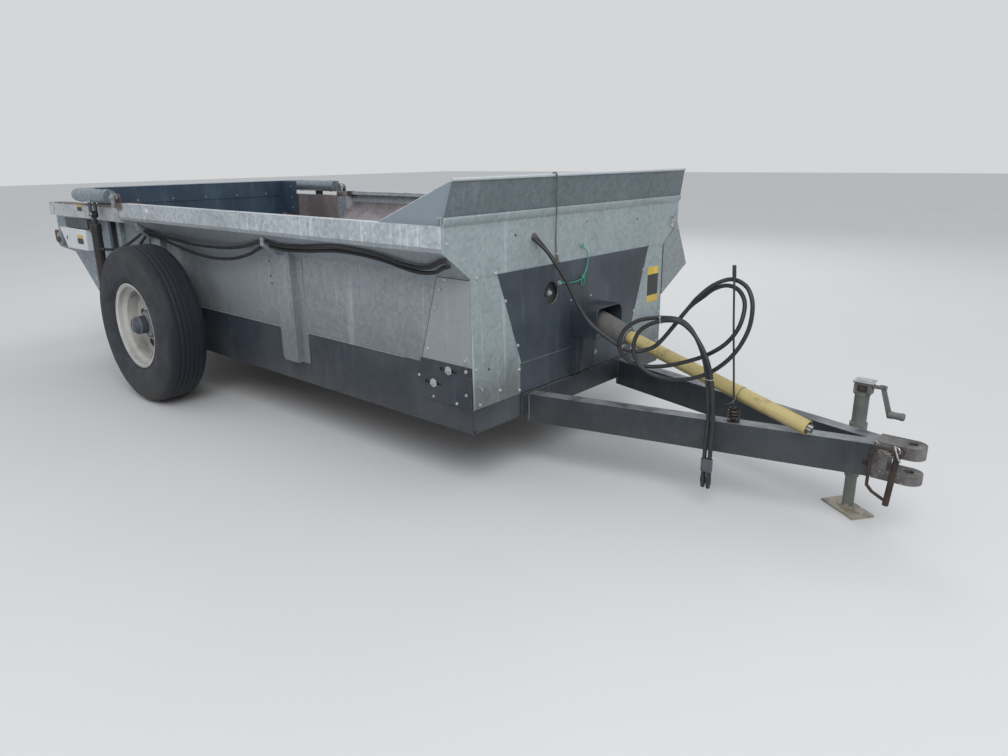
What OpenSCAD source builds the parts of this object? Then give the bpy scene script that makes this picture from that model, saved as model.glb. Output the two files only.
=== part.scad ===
// Manure spreader, towed, with one axle, a moving floor, a lifting gate and one beater.
// Millimetres. X runs forward to the hitch, Y to the left, Z up, and the ground is at zero.

/* [Load box] */
// Distance from the axle forward to the front panel
front_x = 2856; // [2780:1:2950]
// Half of the width over the side sheets
side_y = 890; // [860:1:900]
// Thickness of the galvanised sheets
sheet = 4; // [3:0.5:5]
// Height of the floor above the ground
floor_top = 720; // [710:1:740]
// Thickness of the floor planks
plank_t = 38; // [30:1:42]
// Height at which the sides begin to flare outward
flare_z = 1098; // [1080:1:1110]
// Height of the lower edge of the top rail
rail_low = 1233; // [1225:1:1245]
// Height of the top rail
rail_h = 116; // [100:1:130]
// Half of the width over the top rails
rail_y = 1066; // [1050:1:1080]
// Width of the fold along the top of the rail
rail_fold = 60; // [45:1:75]
// Distance from the axle back to the end of the flared sides
side_back = 550; // [530:1:570]

/* [Side posts] */
// Depth of a side post
post_d = 40; // [35:1:45]
// Width of the raised part of a side post
post_w = 150; // [120:1:170]
// Width of each flange of a side post
post_flange = 70; // [50:1:80]
// Distance from the axle forward to the front post
post_front_x = 1345; // [1200:1:1500]
// Distance from the axle back to the rear post
post_back_x = 320; // [300:1:330]
// Height of the lower end of the front post
post_low = 450; // [400:1:500]

/* [Chassis] */
// Height of the lower edge of the sills
sill_low = 320; // [310:1:335]
// Height of a sill
sill_h = 320; // [315:1:325]
// Width of the sill flanges
sill_flange = 75; // [60:1:90]
// Thickness of the sill steel
sill_t = 6; // [5:1:8]
// Distance from the axle back to the end of the sills
sill_back = 1450; // [1400:1:1500]
// Height of the floor bearers
bearer_h = 42; // [36:1:42]
// Width of the floor bearers
bearer_w = 50; // [40:1:60]
// Number of floor bearers
bearers = 8; // [6:1:10]

/* [Wheels] */
// Radius of the tyre
tyre_r = 548; // [540:1:556]
// Width of the tyre
tyre_w = 298; // [285:1:310]
// Gap between a side post and the tyre
tyre_gap = 102; // [90:1:110]
// Radius of the rim's edge
rim_r = 298; // [290:1:300]
// Width of the rim
rim_w = 234; // [224:1:244]
// Thickness of the rim steel
rim_t = 10; // [8:1:12]
// Distance that the wheel's disc sits inward of its middle
disc_set = 44; // [38:1:50]
// Radius of the wheel hub
hub_r = 98; // [90:1:105]
// Radius of the axle spindle
spindle_r = 35; // [32:1:38]
// Side of the square axle beam
axle_side = 100; // [90:1:102]

/* [Tongue and hitch] */
// Height of the lower side of the tongue tubes
tongue_low = 278; // [270:1:285]
// Height of a tongue tube
tongue_h = 152; // [145:1:156]
// Width of a tongue tube
tongue_w = 76; // [70:1:80]
// Wall of a tongue tube
tongue_t = 7; // [6:0.5:9]
// Half of the width over the tongue tubes at the front frame
tongue_spread = 475; // [460:1:490]
// Half of the width over the tongue tubes at the nose
nose_y = 68; // [64:1:72]
// Distance from the axle forward to the end of the tongue tubes
nose_x = 4460; // [4440:1:4480]
// Distance from the axle forward to the hitch bore
hitch_x = 4598; // [4590:1:4610]
// Half width of the hitch jaws
jaw_r = 55; // [50:1:58]
// Radius of the hitch bore
hitch_bore_r = 17; // [15:0.5:20]
// Height of the top of the upper jaw
jaw_top = 443; // [440:1:446]
// Thickness of the upper jaw
jaw_upper_t = 58; // [50:1:60]
// Thickness of the lower jaw
jaw_lower_t = 45; // [40:1:50]
// Gap between the jaws
jaw_gap = 70; // [65:1:75]

/* [Jack] */
// Distance from the axle forward to the jack
jack_x = 4335; // [4320:1:4350]
// Radius of the jack's outer tube
jack_r = 32; // [30:1:34]
// Radius of the jack's leg
jack_leg_r = 26; // [23:1:27]
// Height of the top of the jack
jack_top = 646; // [632:1:660]
// Height of the lower end of the jack's outer tube
jack_low = 175; // [160:1:190]
// Length of the jack's foot plate
foot_l = 220; // [200:1:240]
// Width of the jack's foot plate
foot_w = 120; // [110:1:130]
// Turn of the foot plate on its leg
foot_turn = -35; // [-40:1:-30]

/* [Gate] */
// Distance from the axle back to the gate's hinge
gate_hinge_back = 660; // [650:1:670]
// Height of the gate's hinge
gate_hinge_z = 1385; // [1380:1:1390]
// Distance from the axle back to the gate's cross pipe
gate_pipe_back = 1500; // [1485:1:1515]
// Height of the gate pipe
gate_pipe_z = 1390; // [1384:1:1396]
// Radius of the gate pipe
gate_pipe_r = 50; // [46:1:52]
// Wall of the gate pipe
gate_pipe_t = 5; // [4:1:6]
// Radius of the bends of the gate pipe
gate_bend_r = 150; // [130:1:170]
// Half of the distance between the arms of the gate pipe
gate_arm_y = 1030; // [1026:1:1034]
// Radius of the hinge pins
gate_pin_r = 14; // [12:0.5:16]
// Clearance between the gate panel and the sides
gate_side_gap = 16; // [10:1:20]
// Height of the upper band of the gate panel
gate_band_h = 141; // [130:1:150]
// Length of the wings at the ends of the gate panel
wing_l = 290; // [250:1:310]

/* [Gate cylinders] */
// Distance of a cylinder from the middle of the machine
cyl_y = 1055; // [1052:1:1060]
// Radius of the cylinder barrel
cyl_r = 38; // [34:1:40]
// Radius of the cylinder rod
cyl_rod_r = 20; // [16:1:22]
// Distance from the axle back to the upper eye
cyl_eye_back = 1060; // [1050:1:1070]
// Height of the upper eye
cyl_eye_z = 1250; // [1240:1:1255]
// Distance from the axle back to the lower eye
cyl_foot_back = 1080; // [1070:1:1090]
// Height of the lower eye
cyl_foot_z = 520; // [505:1:530]
// Height of the port for the upper hose
port_top_z = 985; // [970:1:1000]
// Height of the port for the lower hose
port_low_z = 640; // [630:1:660]
// Radius of the cylinder's pins
cyl_pin_r = 12; // [10:0.5:13]

/* [Rear frame and beater] */
// Thickness of the rear side plates
rear_plate_t = 6; // [5:0.5:8]
// Height of the top of the rear side plates
rear_top = 1310; // [1300:1:1316]
// Half of the width over the rear rails
rear_rail_y = 1000; // [990:1:1005]
// Height of the rear rail
rear_rail_h = 110; // [100:1:116]
// Distance from the axle back to the end of the rear rails
rear_rail_back = 2190; // [2150:1:2220]
// Distance from the axle back to the beater
beater_back = 2300; // [2285:1:2320]
// Height of the beater's centre line
beater_z = 970; // [960:1:980]
// Radius over the tips of the paddles
beater_r = 410; // [390:1:420]
// Radius of the beater's tube
beater_tube_r = 84; // [75:1:90]
// Radius of the beater's shaft
beater_shaft_r = 25; // [22:1:28]
// Number of paddle stations along the beater
stations = 9; // [7:1:10]
// Width of a paddle
paddle_w = 95; // [80:1:110]
// Thickness of a paddle
paddle_t = 10; // [8:1:12]

/* [Apron] */
// Pitch radius of the apron sprockets
apron_r = 57; // [54:1:59]
// Thickness of the apron chain
chain_t = 16; // [14:1:18]
// Width of the apron chain
chain_w = 36; // [30:1:42]
// Distance of each apron chain from the middle
chain_y = 620; // [560:1:660]
// Height of a slat above the chain's middle
slat_h = 26; // [22:1:28]
// Number of slats on the apron
slats = 26; // [20:1:30]
// Distance from the axle back to the rear apron shaft
apron_back = 1690; // [1670:1:1700]
// Distance from the front panel back to the front apron shaft
apron_front_gap = 136; // [120:1:150]
// Radius of the apron shafts
apron_shaft_r = 22; // [20:1:25]

/* [Front shields] */
// Height of the top of the front panel
front_top = 1391; // [1380:1:1400]
// Height of the lower edge of the front panel
front_low = 449; // [445:1:455]
// Height of the splash guard's top
guard_top = 1551; // [1540:1:1560]
// Width of the fold along the top of the front panel
hem_w = 34; // [28:1:40]
// Length of the splash guard's gussets
gusset_l = 470; // [420:1:500]
// Distance that the splash guard leans forward
guard_lean = 42; // [30:1:50]
// Half of the width of the splash guard at its top
guard_half = 1037; // [1030:1:1042]
// Half of the width of the dark cover at its top
cover_top_half = 702; // [680:1:710]
// Half of the width of the dark cover at its foot
cover_low_half = 526; // [500:1:540]
// Height of the dark cover's lower edge
cover_low = 614; // [605:1:620]
// Radius of the round window in the dark cover
window_r = 61; // [50:1:65]
// Offset of the window to the left
window_y = -280; // [-300:1:-260]
// Height of the window
window_z = 945; // [930:1:960]
// Offset of the hole for the hoses to the left
hose_hole_y = -420; // [-440:1:-400]
// Height of the hole for the hoses
hose_hole_z = 1248; // [1230:1:1260]
// Half of the width of the hood over the input shaft
hood_half = 129; // [120:1:140]
// Length of the hood
hood_l = 175; // [150:1:190]
// Height of the hood's top
hood_top = 855; // [845:1:865]
// Height of the hood's lower edge
hood_low = 684; // [675:1:695]

/* [Power shaft] */
// Height of the input shaft
input_z = 784; // [776:1:790]
// Offset of the input shaft to the left
input_y = 18; // [10:1:26]
// Radius of the shaft's outer tube
pto_r = 35; // [32:1:37]
// Radius of the wide end of the shaft's cone
cone_r = 66; // [60:1:70]
// Distance from the input shaft to the end of the cone
cone_end = 332; // [320:1:345]

/* [Hoses] */
// Radius of the hoses
hose_r = 10; // [8:0.5:10]
// Radius of the couplers at the ends of the hoses
coupler_r = 13; // [12:0.5:13.5]
// Height of the upper ends of the couplers
coupler_top = 222; // [210:1:235]
// Length of the couplers
coupler_l = 108; // [90:1:115]

/* [Drive] */
// Distance of the line shaft from the middle
line_y = 950; // [948:1:952]
// Height of the line shaft
line_z = 1118; // [1116:1:1120]
// Radius of the line shaft
line_r = 14; // [12:0.5:15]
// Distance from the axle back to the end of the line shaft
line_end_back = 2060; // [2040:1:2080]
// Length of the shield at the front of the drive
shield_l = 700; // [600:1:800]
// Half of the machine's width at the shield
shield_y = 1216; // [1200:1:1230]
// Height of the shield's widest edge
shield_mid = 933; // [920:1:945]
// Height of the shield's lower edge
shield_low = 764; // [750:1:780]
// Radius of the chain case around the beater's shaft
case_big_r = 95; // [85:1:105]
// Radius of the chain case around the line shaft's end
case_small_r = 60; // [50:1:70]

/* [Hidden] */
$fn = 48;
eps = 0.01;

// The frame's origin lies under the middle of the machine's length
front_end = hitch_x + jaw_r;
rear_end = -beater_back - beater_r;
x_shift = -(front_end + rear_end) / 2;

rail_top = rail_low + rail_h;
side_in = side_y - sheet;
sill_top = sill_low + sill_h;
post_y = side_y + post_d;
tyre_in = post_y + tyre_gap;
tyre_y = tyre_in + tyre_w / 2;
bearer_top = floor_top - plank_t;
plate_y = side_y + rear_plate_t;
chain_z = floor_top + chain_t / 2;
apron_z = chain_z - apron_r;
apron_front_x = front_x - apron_front_gap;
slat_top = chain_z + slat_h;

module place() {
    translate([x_shift, 0, 0]) children();
}

// Outline in Y and Z, drawn out along X
module along_x(from_x, length) {
    translate([from_x, 0, 0]) rotate([90, 0, 90]) linear_extrude(length) children();
}

// Outline in X and Z, drawn out along Y
module along_y(from_y, length) {
    translate([0, from_y + length, 0]) rotate([90, 0, 0]) linear_extrude(length) children();
}

module rod_y(x, z, r, from_y, to_y) {
    translate([x, from_y, z]) rotate([-90, 0, 0]) cylinder(r = r, h = to_y - from_y);
}

module rod_x(y, z, r, from_x, to_x) {
    translate([from_x, y, z]) rotate([0, 90, 0]) cylinder(r = r, h = to_x - from_x);
}

// Round bar from one point to another
module bar(from, to, r) {
    run = to - from;
    translate(from) rotate([0, acos(run[2] / norm(run)), atan2(run[1], run[0])]) cylinder(r = r, h = norm(run));
}

// Bars in a row, with balls at their joints
module bent_bar(points, r) {
    for (i = [0 : len(points) - 2])
        bar(points[i], points[i + 1], r);
    for (i = [1 : len(points) - 2])
        translate(points[i]) sphere(r = r);
}

module box(from, to) {
    translate(from) cube(to - from);
}

module right_side() {
    mirror([0, 1, 0]) children();
}

// Chassis

module sill() {
    difference() {
        along_x(-sill_back, sill_back + front_x - 6) difference() {
            translate([side_y - sill_flange, sill_low]) square([sill_flange, sill_h]);
            translate([side_y - sill_flange - 1, sill_low + sill_t])
                square([sill_flange - sill_t + 1, sill_h - 2 * sill_t]);
        }
        box([-axle_side / 2, side_y - 20, tyre_r - axle_side / 2],
            [axle_side / 2, side_y + 1, tyre_r + axle_side / 2]);
    }
}

module cylinder_foot_bracket() {
    for (y = [cyl_y - 24, cyl_y + 16])
        along_y(y, 8) difference() {
            union() {
                translate([-cyl_foot_back, cyl_foot_z]) circle(28);
                translate([-cyl_foot_back - 28, sill_low + 33]) square([56, cyl_foot_z - sill_low - 33]);
            }
            translate([-cyl_foot_back, cyl_foot_z]) circle(cyl_pin_r - 1);
        }
    box([-cyl_foot_back - 45, side_y - eps, sill_low + 10],
        [-cyl_foot_back + 45, cyl_y + 24, sill_low + 34]);
    rod_y(-cyl_foot_back, cyl_foot_z, cyl_pin_r, cyl_y - 24, cyl_y + 30);
}

module chassis() {
    color([0.17, 0.2, 0.25]) place() {
        for (s = [0, 1]) mirror([0, s, 0]) {
            sill();
            cylinder_foot_bracket();
        }
        for (i = [0 : bearers - 1]) {
            x = -sill_back + 60 + i * (sill_back + front_x - 300) / (bearers - 1);
            box([x - bearer_w / 2, -side_in, bearer_top - bearer_h],
                [x + bearer_w / 2, side_in, bearer_top]);
        }
        box([front_x - 66, -side_y, sill_low], [front_x - 6, side_y, front_low + 20]);
        box([-sill_back, -side_y + 5, sill_low], [-sill_back + 60, side_y - 5, sill_low + 60]);
    }
}

module axle() {
    reach = tyre_y + 60 - disc_set;
    color([0.17, 0.2, 0.25]) place() {
        difference() {
            box([-axle_side / 2, -side_y - 8, tyre_r - axle_side / 2],
                [axle_side / 2, side_y + 8, tyre_r + axle_side / 2]);
            box([-axle_side / 2 + 9, -side_y - 9, tyre_r - axle_side / 2 + 9],
                [axle_side / 2 - 9, side_y + 9, tyre_r + axle_side / 2 - 9]);
        }
        for (s = [0, 1]) mirror([0, s, 0]) {
            rod_y(0, tyre_r, axle_side / 2 - 4, side_y - 40, side_y + 8);
            rod_y(0, tyre_r, spindle_r, side_y - 40, reach);
        }
    }
}

module floor() {
    planks = 10;
    plank_gap = 3;
    width = 2 * side_in - 2;
    color([0.42, 0.33, 0.25]) place()
        for (i = [0 : planks - 1]) {
            y = -width / 2 + i * width / planks;
            box([-apron_back + 90, y + plank_gap / 2, bearer_top],
                [apron_front_x - 80, y + width / planks - plank_gap / 2, floor_top]);
        }
}

// Moving floor

module loop_outline(r) {
    length = apron_front_x + apron_back;
    translate([-apron_back, apron_z]) circle(r);
    translate([apron_front_x, apron_z]) circle(r);
    translate([-apron_back, apron_z - r]) square([length, 2 * r]);
}

module apron_chain() {
    length = apron_front_x + apron_back;
    turns = slats / 2;
    color([0.33, 0.24, 0.19]) place() {
        for (y = [-chain_y, chain_y])
            along_y(y - chain_w / 2, chain_w) difference() {
                loop_outline(apron_r + chain_t / 2);
                loop_outline(apron_r - chain_t / 2);
            }
        for (i = [0 : turns - 1], side = [0, 1]) {
            x = -apron_back + (i + 0.5) * length / turns;
            low = side == 0 ? chain_z + chain_t / 2 - 2 : chain_z - 2 * apron_r - slat_h;
            box([x - 20, -side_in + 20, side == 0 ? chain_z : low],
                [x + 20, side_in - 20, side == 0 ? slat_top : chain_z - 2 * apron_r]);
        }
    }
}

module apron_shaft(x) {
    rod_y(x, apron_z, apron_shaft_r, -side_in, side_in);
    for (y = [-chain_y, chain_y])
        rod_y(x, apron_z, apron_r - chain_t / 2, y - 10, y + 10);
}

module apron_front_shaft() {
    color([0.2, 0.2, 0.22]) place() apron_shaft(apron_front_x);
}

module apron_rear_shaft() {
    color([0.2, 0.2, 0.22]) place() apron_shaft(-apron_back);
}

// Sides

module side_outline() {
    polygon([
        [side_in, sill_top], [side_y, sill_top], [side_y, flare_z], [rail_y, rail_low],
        [rail_y, rail_low + 20], [rail_y - sheet, rail_low + 20],
        [rail_y - sheet, rail_low + 2], [side_in, flare_z + 2]
    ]);
}

module hat_post(x, low, high) {
    // raised part, open toward the side sheet
    translate([x, 0, low]) linear_extrude(high - low) difference() {
        union() {
            translate([-post_w / 2, side_y]) square([post_w, post_d]);
            translate([-post_w / 2 - post_flange, side_y]) square([post_w + 2 * post_flange, 5]);
        }
        translate([-post_w / 2 + 5, side_y - 1]) square([post_w - 10, post_d - 4]);
    }
}

module side_panel() {
    along_x(-side_back, side_back + front_x - sheet) side_outline();
    intersection() {
        union() {
            hat_post(post_front_x, post_low, rail_low);
            hat_post(-post_back_x, sill_top - 100, rail_low);
        }
        along_x(-side_back, side_back + front_x) polygon([
            [side_y - 1, sill_low], [rail_y, sill_low], [rail_y, rail_low],
            [side_y - 1, flare_z - 1]
        ]);
    }
}

module side_panel_left() {
    color([0.66, 0.68, 0.69]) place() side_panel();
}

// Flat plate that doubles the right side behind the front corner
module corner_doubler() {
    along_y(side_y - eps, 3) polygon([
        [front_x - 356, sill_top + 24], [front_x - sheet, sill_top + 24],
        [front_x - sheet, flare_z - 8], [front_x - 226, flare_z - 8]
    ]);
}

module side_panel_right() {
    color([0.66, 0.68, 0.69]) place() right_side() {
        side_panel();
        corner_doubler();
    }
}

module top_rail() {
    along_x(-side_back, side_back + front_x - sheet) polygon([
        [rail_y, rail_low + 20], [rail_y, rail_top], [rail_y - rail_fold, rail_top],
        [rail_y - rail_fold, rail_top - 30], [rail_y - rail_fold + sheet, rail_top - 30],
        [rail_y - rail_fold + sheet, rail_top - sheet], [rail_y - sheet, rail_top - sheet],
        [rail_y - sheet, rail_low + 20]
    ]);
}

module top_rail_left() {
    color([0.72, 0.74, 0.75]) place() top_rail();
}

module top_rail_right() {
    color([0.72, 0.74, 0.75]) place() right_side() top_rail();
}

// Rear frame

module rear_plate_outline() {
    polygon([
        [-side_back + 50, sill_low + 40], [-side_back + 50, flare_z - 12],
        [-side_back, flare_z - 12], [-side_back, rear_top], [-rear_rail_back, rear_top],
        [-beater_back - 80, rear_top - 110],
        [-beater_back - 95, beater_z - 75], [-beater_back + 240, beater_z - 96],
        [-beater_back + 450, beater_z - 265], [-sill_back + 20, sill_low + 40]
    ]);
}

module hinge_bracket() {
    x = -gate_hinge_back;
    for (y = [gate_arm_y - 26, gate_arm_y + 14])
        along_y(y, 12) union() {
            translate([x, gate_hinge_z]) circle(30);
            translate([x - 30, rear_top]) square([60, gate_hinge_z - rear_top]);
        }
    box([x - 60, side_y, rear_top - 12], [x + 60, gate_arm_y + 26, rear_top]);
    rod_y(x, gate_hinge_z, gate_pin_r, gate_arm_y - 26, gate_arm_y + 34);
    box([x - 320, plate_y - eps, 700], [x - 265, plate_y + 34, rear_top - 12]);
}

module rear_side() {
    difference() {
        union() {
            along_y(side_y, rear_plate_t) rear_plate_outline();
            along_x(-rear_rail_back, rear_rail_back - side_back) difference() {
                translate([side_y, rear_top - rear_rail_h])
                    square([rear_rail_y - side_y, rear_rail_h]);
                translate([plate_y, rear_top - rear_rail_h - 1])
                    square([rear_rail_y - plate_y - sheet, rear_rail_h - sheet + 1]);
            }
            hinge_bracket();
            along_x(-side_back - sheet, sheet) polygon([
                [side_y, flare_z - 2], [rail_y, rail_low - 2], [rail_y, rail_top], [side_y, rail_top]
            ]);
            rod_y(-beater_back, beater_z, 62, plate_y - 1, plate_y + 34);
        }
        rod_y(-beater_back, beater_z, beater_shaft_r + 1, side_y - 10, plate_y + 60);
        rod_y(-apron_back, apron_z, apron_shaft_r + 1, side_y - 10, plate_y + 60);
    }
}

module rear_side_left() {
    color([0.7, 0.72, 0.73]) place() rear_side();
}

module rear_side_right() {
    color([0.7, 0.72, 0.73]) place() right_side() rear_side();
}

module beater_guard() {
    front = -sill_back;
    color([0.85, 0.86, 0.86]) place() right_side()
        along_y(plate_y, rear_rail_y - plate_y) polygon([
            [front, beater_z - 39], [front, beater_z + 133], [front - 570, beater_z + 133],
            [front - 450, beater_z - 39]
        ]);
}

// Front

module front_outline() {
    polygon([
        [rail_y, front_top], [rail_y, rail_low], [side_y, flare_z], [side_y, front_low],
        [-side_y, front_low], [-side_y, flare_z], [-rail_y, rail_low], [-rail_y, front_top]
    ]);
}

module front_panel() {
    color([0.68, 0.7, 0.71]) place() {
        along_x(front_x - sheet, sheet) difference() {
            front_outline();
            translate([window_y, window_z]) circle(window_r);
            translate([hose_hole_y, hose_hole_z]) circle(2 * hose_r + 5);
        }
        box([front_x - hem_w, -rail_y, front_top - 4], [front_x - sheet, rail_y, front_top]);
        box([front_x - hem_w, -rail_y + rail_fold + 10, front_top - 30],
            [front_x - hem_w + sheet, rail_y - rail_fold - 10, front_top]);
    }
}

guard_low = front_top - 26;
function guard_x(z) = front_x + 1 + (z - guard_low) * guard_lean / (guard_top - guard_low);

module splash_guard() {
    bead = 8;
    color([0.7, 0.72, 0.73]) place() {
        intersection() {
            along_y(-rail_y, 2 * rail_y) polygon([
                [guard_x(guard_low), guard_low], [guard_x(guard_top), guard_top],
                [guard_x(guard_top) + 4, guard_top], [guard_x(guard_low) + 4, guard_low]
            ]);
            along_x(front_x - 10, 200) polygon([
                [-rail_y, guard_low], [rail_y, guard_low], [guard_half, guard_top], [-guard_half, guard_top]
            ]);
        }
        rod_y(guard_x(guard_top) + 3, guard_top - 2, bead, -guard_half, guard_half);
        for (s = [0, 1]) mirror([0, s, 0])
            along_y(guard_half - 6, 4) polygon([
                [front_x - gusset_l, rail_top], [front_x - hem_w, rail_top], [front_x - hem_w, front_top],
                [guard_x(front_top) + 2, front_top], [guard_x(guard_top) + 2, guard_top - 4]
            ]);
    }
}

module centre_cover() {
    color([0.14, 0.17, 0.21]) place()
        along_x(front_x, 4) difference() {
            polygon([
                [-cover_top_half, flare_z], [cover_top_half, flare_z],
                [cover_low_half, cover_low], [-cover_low_half, cover_low]
            ]);
            translate([window_y, window_z]) circle(window_r);
        }
}

module corner_plate() {
    difference() {
        box([front_x - 365, side_y, sill_low + 132], [front_x - 6, side_y + 8, sill_top + 22]);
        for (at = [[front_x - 163, sill_top - 13], [front_x - 274, sill_top - 97]])
            box([at[0] - 62, side_y - 1, at[1] - 9], [at[0] + 62, side_y + 9, at[1] + 9]);
    }
}

module corner_plate_left() {
    color([0.16, 0.18, 0.22]) place() corner_plate();
}

module corner_plate_right() {
    color([0.16, 0.18, 0.22]) place() right_side() corner_plate();
}

module front_bulkhead() {
    color([0.6, 0.62, 0.63]) place()
        along_y(-side_in + 1, 2 * side_in - 2) polygon([
            [front_x - 330, floor_top + 60], [front_x - 330 + 4, floor_top + 60],
            [front_x - sheet, flare_z - 10], [front_x - sheet, flare_z]
        ]);
}

module hood_outline(inset) {
    r = 45;
    half = hood_half - inset;
    low = hood_low;
    top = hood_top - inset;
    translate([input_y, 0]) {
        translate([-half, low]) square([2 * half, top - low - r]);
        translate([-half + r, low]) square([2 * half - 2 * r, top - low]);
        for (y = [-half + r, half - r])
            translate([y, top - r]) circle(r);
    }
}

module shaft_shroud() {
    channel_low = front_low;
    channel_y = input_y - hood_half + 5;
    channel_w = 127;
    color([0.15, 0.17, 0.2]) place() {
        difference() {
            along_x(front_x + 4, hood_l) union() hood_outline(0);
            along_x(front_x + 10, hood_l) translate([0, -1]) union() hood_outline(6);
            along_x(front_x + 10, hood_l) translate([input_y - hood_half + 6, hood_low - 5])
                square([2 * hood_half - 12, 60]);
        }
        difference() {
            along_y(channel_y, channel_w) polygon([
                [front_x + 4, channel_low], [front_x + 73, channel_low + 40],
                [front_x + 99, hood_low + 5], [front_x + 4, hood_low + 5]
            ]);
            along_y(channel_y + 6, channel_w - 12) polygon([
                [front_x + 10, channel_low - 10], [front_x + 67, channel_low + 30],
                [front_x + 93, hood_low + 6], [front_x + 10, hood_low + 6]
            ]);
        }
    }
}

module gearbox() {
    color([0.3, 0.31, 0.33]) place() {
        box([front_x - 190, input_y - 90, input_z - 82], [front_x - sheet, input_y + 90, input_z + 95]);
        rod_y(front_x - 100, input_z, 22, input_y + 80, side_in);
        // case and stub behind the round window
        box([front_x - 90, window_y - 50, input_z + 10], [front_x - 40, input_y, window_z + 45]);
        rod_x(window_y, window_z, 20, front_x - 50, front_x - 12);
    }
}

// Power shaft, parked on the tongue

pto_start = [front_x + 14, input_y, input_z];
pto_end = [4205, -152, 467];
pto_run = pto_end - pto_start;
pto_len = norm(pto_run);

module on_pto_line() {
    translate(pto_start)
        rotate([0, acos(pto_run[2] / pto_len), atan2(pto_run[1], pto_run[0])]) children();
}

module pto_cone() {
    color([0.5, 0.5, 0.5]) place() on_pto_line() rotate_extrude() polygon([
        [20, 30], [cone_r, 30], [cone_r, 130], [62, 200], [52, cone_end - 12], [pto_r + 1, cone_end],
        [20, cone_end]
    ]);
}

module pto_shaft() {
    color([0.72, 0.62, 0.3]) place() on_pto_line() {
        translate([0, 0, cone_end]) cylinder(r = pto_r, h = pto_len - cone_end);
        // the inner shaft starts just in front of the back of the shroud
        translate([0, 0, 1.3]) cylinder(r = 19, h = cone_end + 10);
        translate([0, 0, pto_len - eps]) cylinder(r = 22, h = 20);
    }
}

// Tongue and hitch

tongue_start = front_x - 6;
tongue_angle = atan((tongue_spread - nose_y) / (nose_x - tongue_start));

module tongue_tube(grow) {
    // outer face runs from the frame to the nose
    length = (nose_x - tongue_start) / cos(tongue_angle) + 200;
    translate([tongue_start, tongue_spread, 0]) rotate([0, 0, -tongue_angle])
        translate([-60, -tongue_w + grow, tongue_low + grow])
            cube([length, tongue_w - 2 * grow, tongue_h - 2 * grow]);
}

module tongue_half() {
    intersection() {
        difference() {
            tongue_tube(0);
            tongue_tube(tongue_t);
        }
        box([tongue_start, 0, 0], [nose_x, 600, 600]);
    }
}

module tongue() {
    color([0.16, 0.19, 0.24]) place() {
        for (s = [0, 1]) mirror([0, s, 0]) tongue_half();
        box([tongue_start, -tongue_spread - 60, sill_low], [tongue_start + 12, tongue_spread + 60, front_low - 8]);
        box([nose_x - 12, -nose_y, tongue_low], [nose_x, nose_y, tongue_low + tongue_h]);
    }
}

module jaw(z, t) {
    translate([0, 0, z]) linear_extrude(t) union() {
        translate([hitch_x, 0]) circle(jaw_r);
        translate([nose_x, -jaw_r]) square([hitch_x - nose_x, 2 * jaw_r]);
    }
}

module hitch_clevis() {
    low = jaw_top - jaw_upper_t - jaw_gap - jaw_lower_t;
    color([0.4, 0.26, 0.18]) place() difference() {
        union() {
            jaw(jaw_top - jaw_upper_t, jaw_upper_t);
            jaw(low, jaw_lower_t);
            box([nose_x, -jaw_r, low], [nose_x + 55, jaw_r, jaw_top]);
        }
        translate([hitch_x, 0, low - 1]) cylinder(r = hitch_bore_r, h = jaw_top);
    }
}

// Spare drawbar pin, carried in a boss on the side of the upper jaw
module hitch_pin() {
    y = -jaw_r - 34;
    z = jaw_top - jaw_upper_t / 2;
    color([0.36, 0.22, 0.15]) place() {
        rod_y(nose_x + 102, z, 21, y - 14, -jaw_r);
        bar([nose_x + 102, y, z], [nose_x + 84, y - 6, z - 238], 13);
        bent_bar([
            [nose_x + 98, y - 6, z + 10], [nose_x + 26, y - 8, z + 20], [nose_x, y - 8, z - 14],
            [nose_x, y - 8, z - 164], [nose_x + 24, y - 8, z - 190], [nose_x + 86, y - 6, z - 222]
        ], 7);
    }
}

function tongue_face(x) = nose_y + (nose_x - x) * tan(tongue_angle);
jack_y = tongue_face(jack_x) + jack_r + 10;

module jack_body() {
    crank_z = jack_top - 22;
    color([0.2, 0.22, 0.26]) place() {
        difference() {
            union() {
                translate([jack_x, jack_y, jack_low]) cylinder(r = jack_r, h = jack_top - 55 - jack_low);
                // collar on the tongue
                translate([jack_x, jack_y, tongue_low + tongue_h - 34]) cylinder(r = jack_r + 7, h = 46);
            }
            translate([jack_x, jack_y, jack_low - 1]) cylinder(r = jack_leg_r + 1, h = 405);
        }
        box([jack_x - 34, jack_y - 28, jack_top - 60], [jack_x + 40, jack_y + 28, jack_top - 8]);
        box([jack_x - 38, jack_y - 33, jack_top - 8], [jack_x + 46, jack_y + 33, jack_top]);
        // bracket that holds the jack on the tongue
        translate([0, 0, tongue_low + 40]) linear_extrude(tongue_h - 60) polygon([
            [jack_x - 45, tongue_face(jack_x - 45)], [jack_x + 45, tongue_face(jack_x + 45)],
            [jack_x + 45, jack_y - jack_r + 2], [jack_x - 45, jack_y - jack_r + 2]
        ]);
        rod_x(jack_y, crank_z, 9, jack_x + 30, jack_x + 84);
        along_y(jack_y - 6, 12) polygon([
            [jack_x + 70, crank_z + 12], [jack_x + 90, crank_z + 12],
            [jack_x + 136, crank_z - 128], [jack_x + 116, crank_z - 136]
        ]);
        rod_x(jack_y, crank_z - 118, 13, jack_x + 120, jack_x + 186);
    }
}

module jack_leg() {
    color([0.55, 0.56, 0.57]) place() {
        translate([jack_x, jack_y, 8]) cylinder(r = jack_leg_r, h = 412);
        translate([jack_x, jack_y, 0]) rotate([0, 0, foot_turn])
            translate([-foot_l / 2, -foot_w / 2, 0]) cube([foot_l, foot_w, 10]);
    }
}

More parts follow.
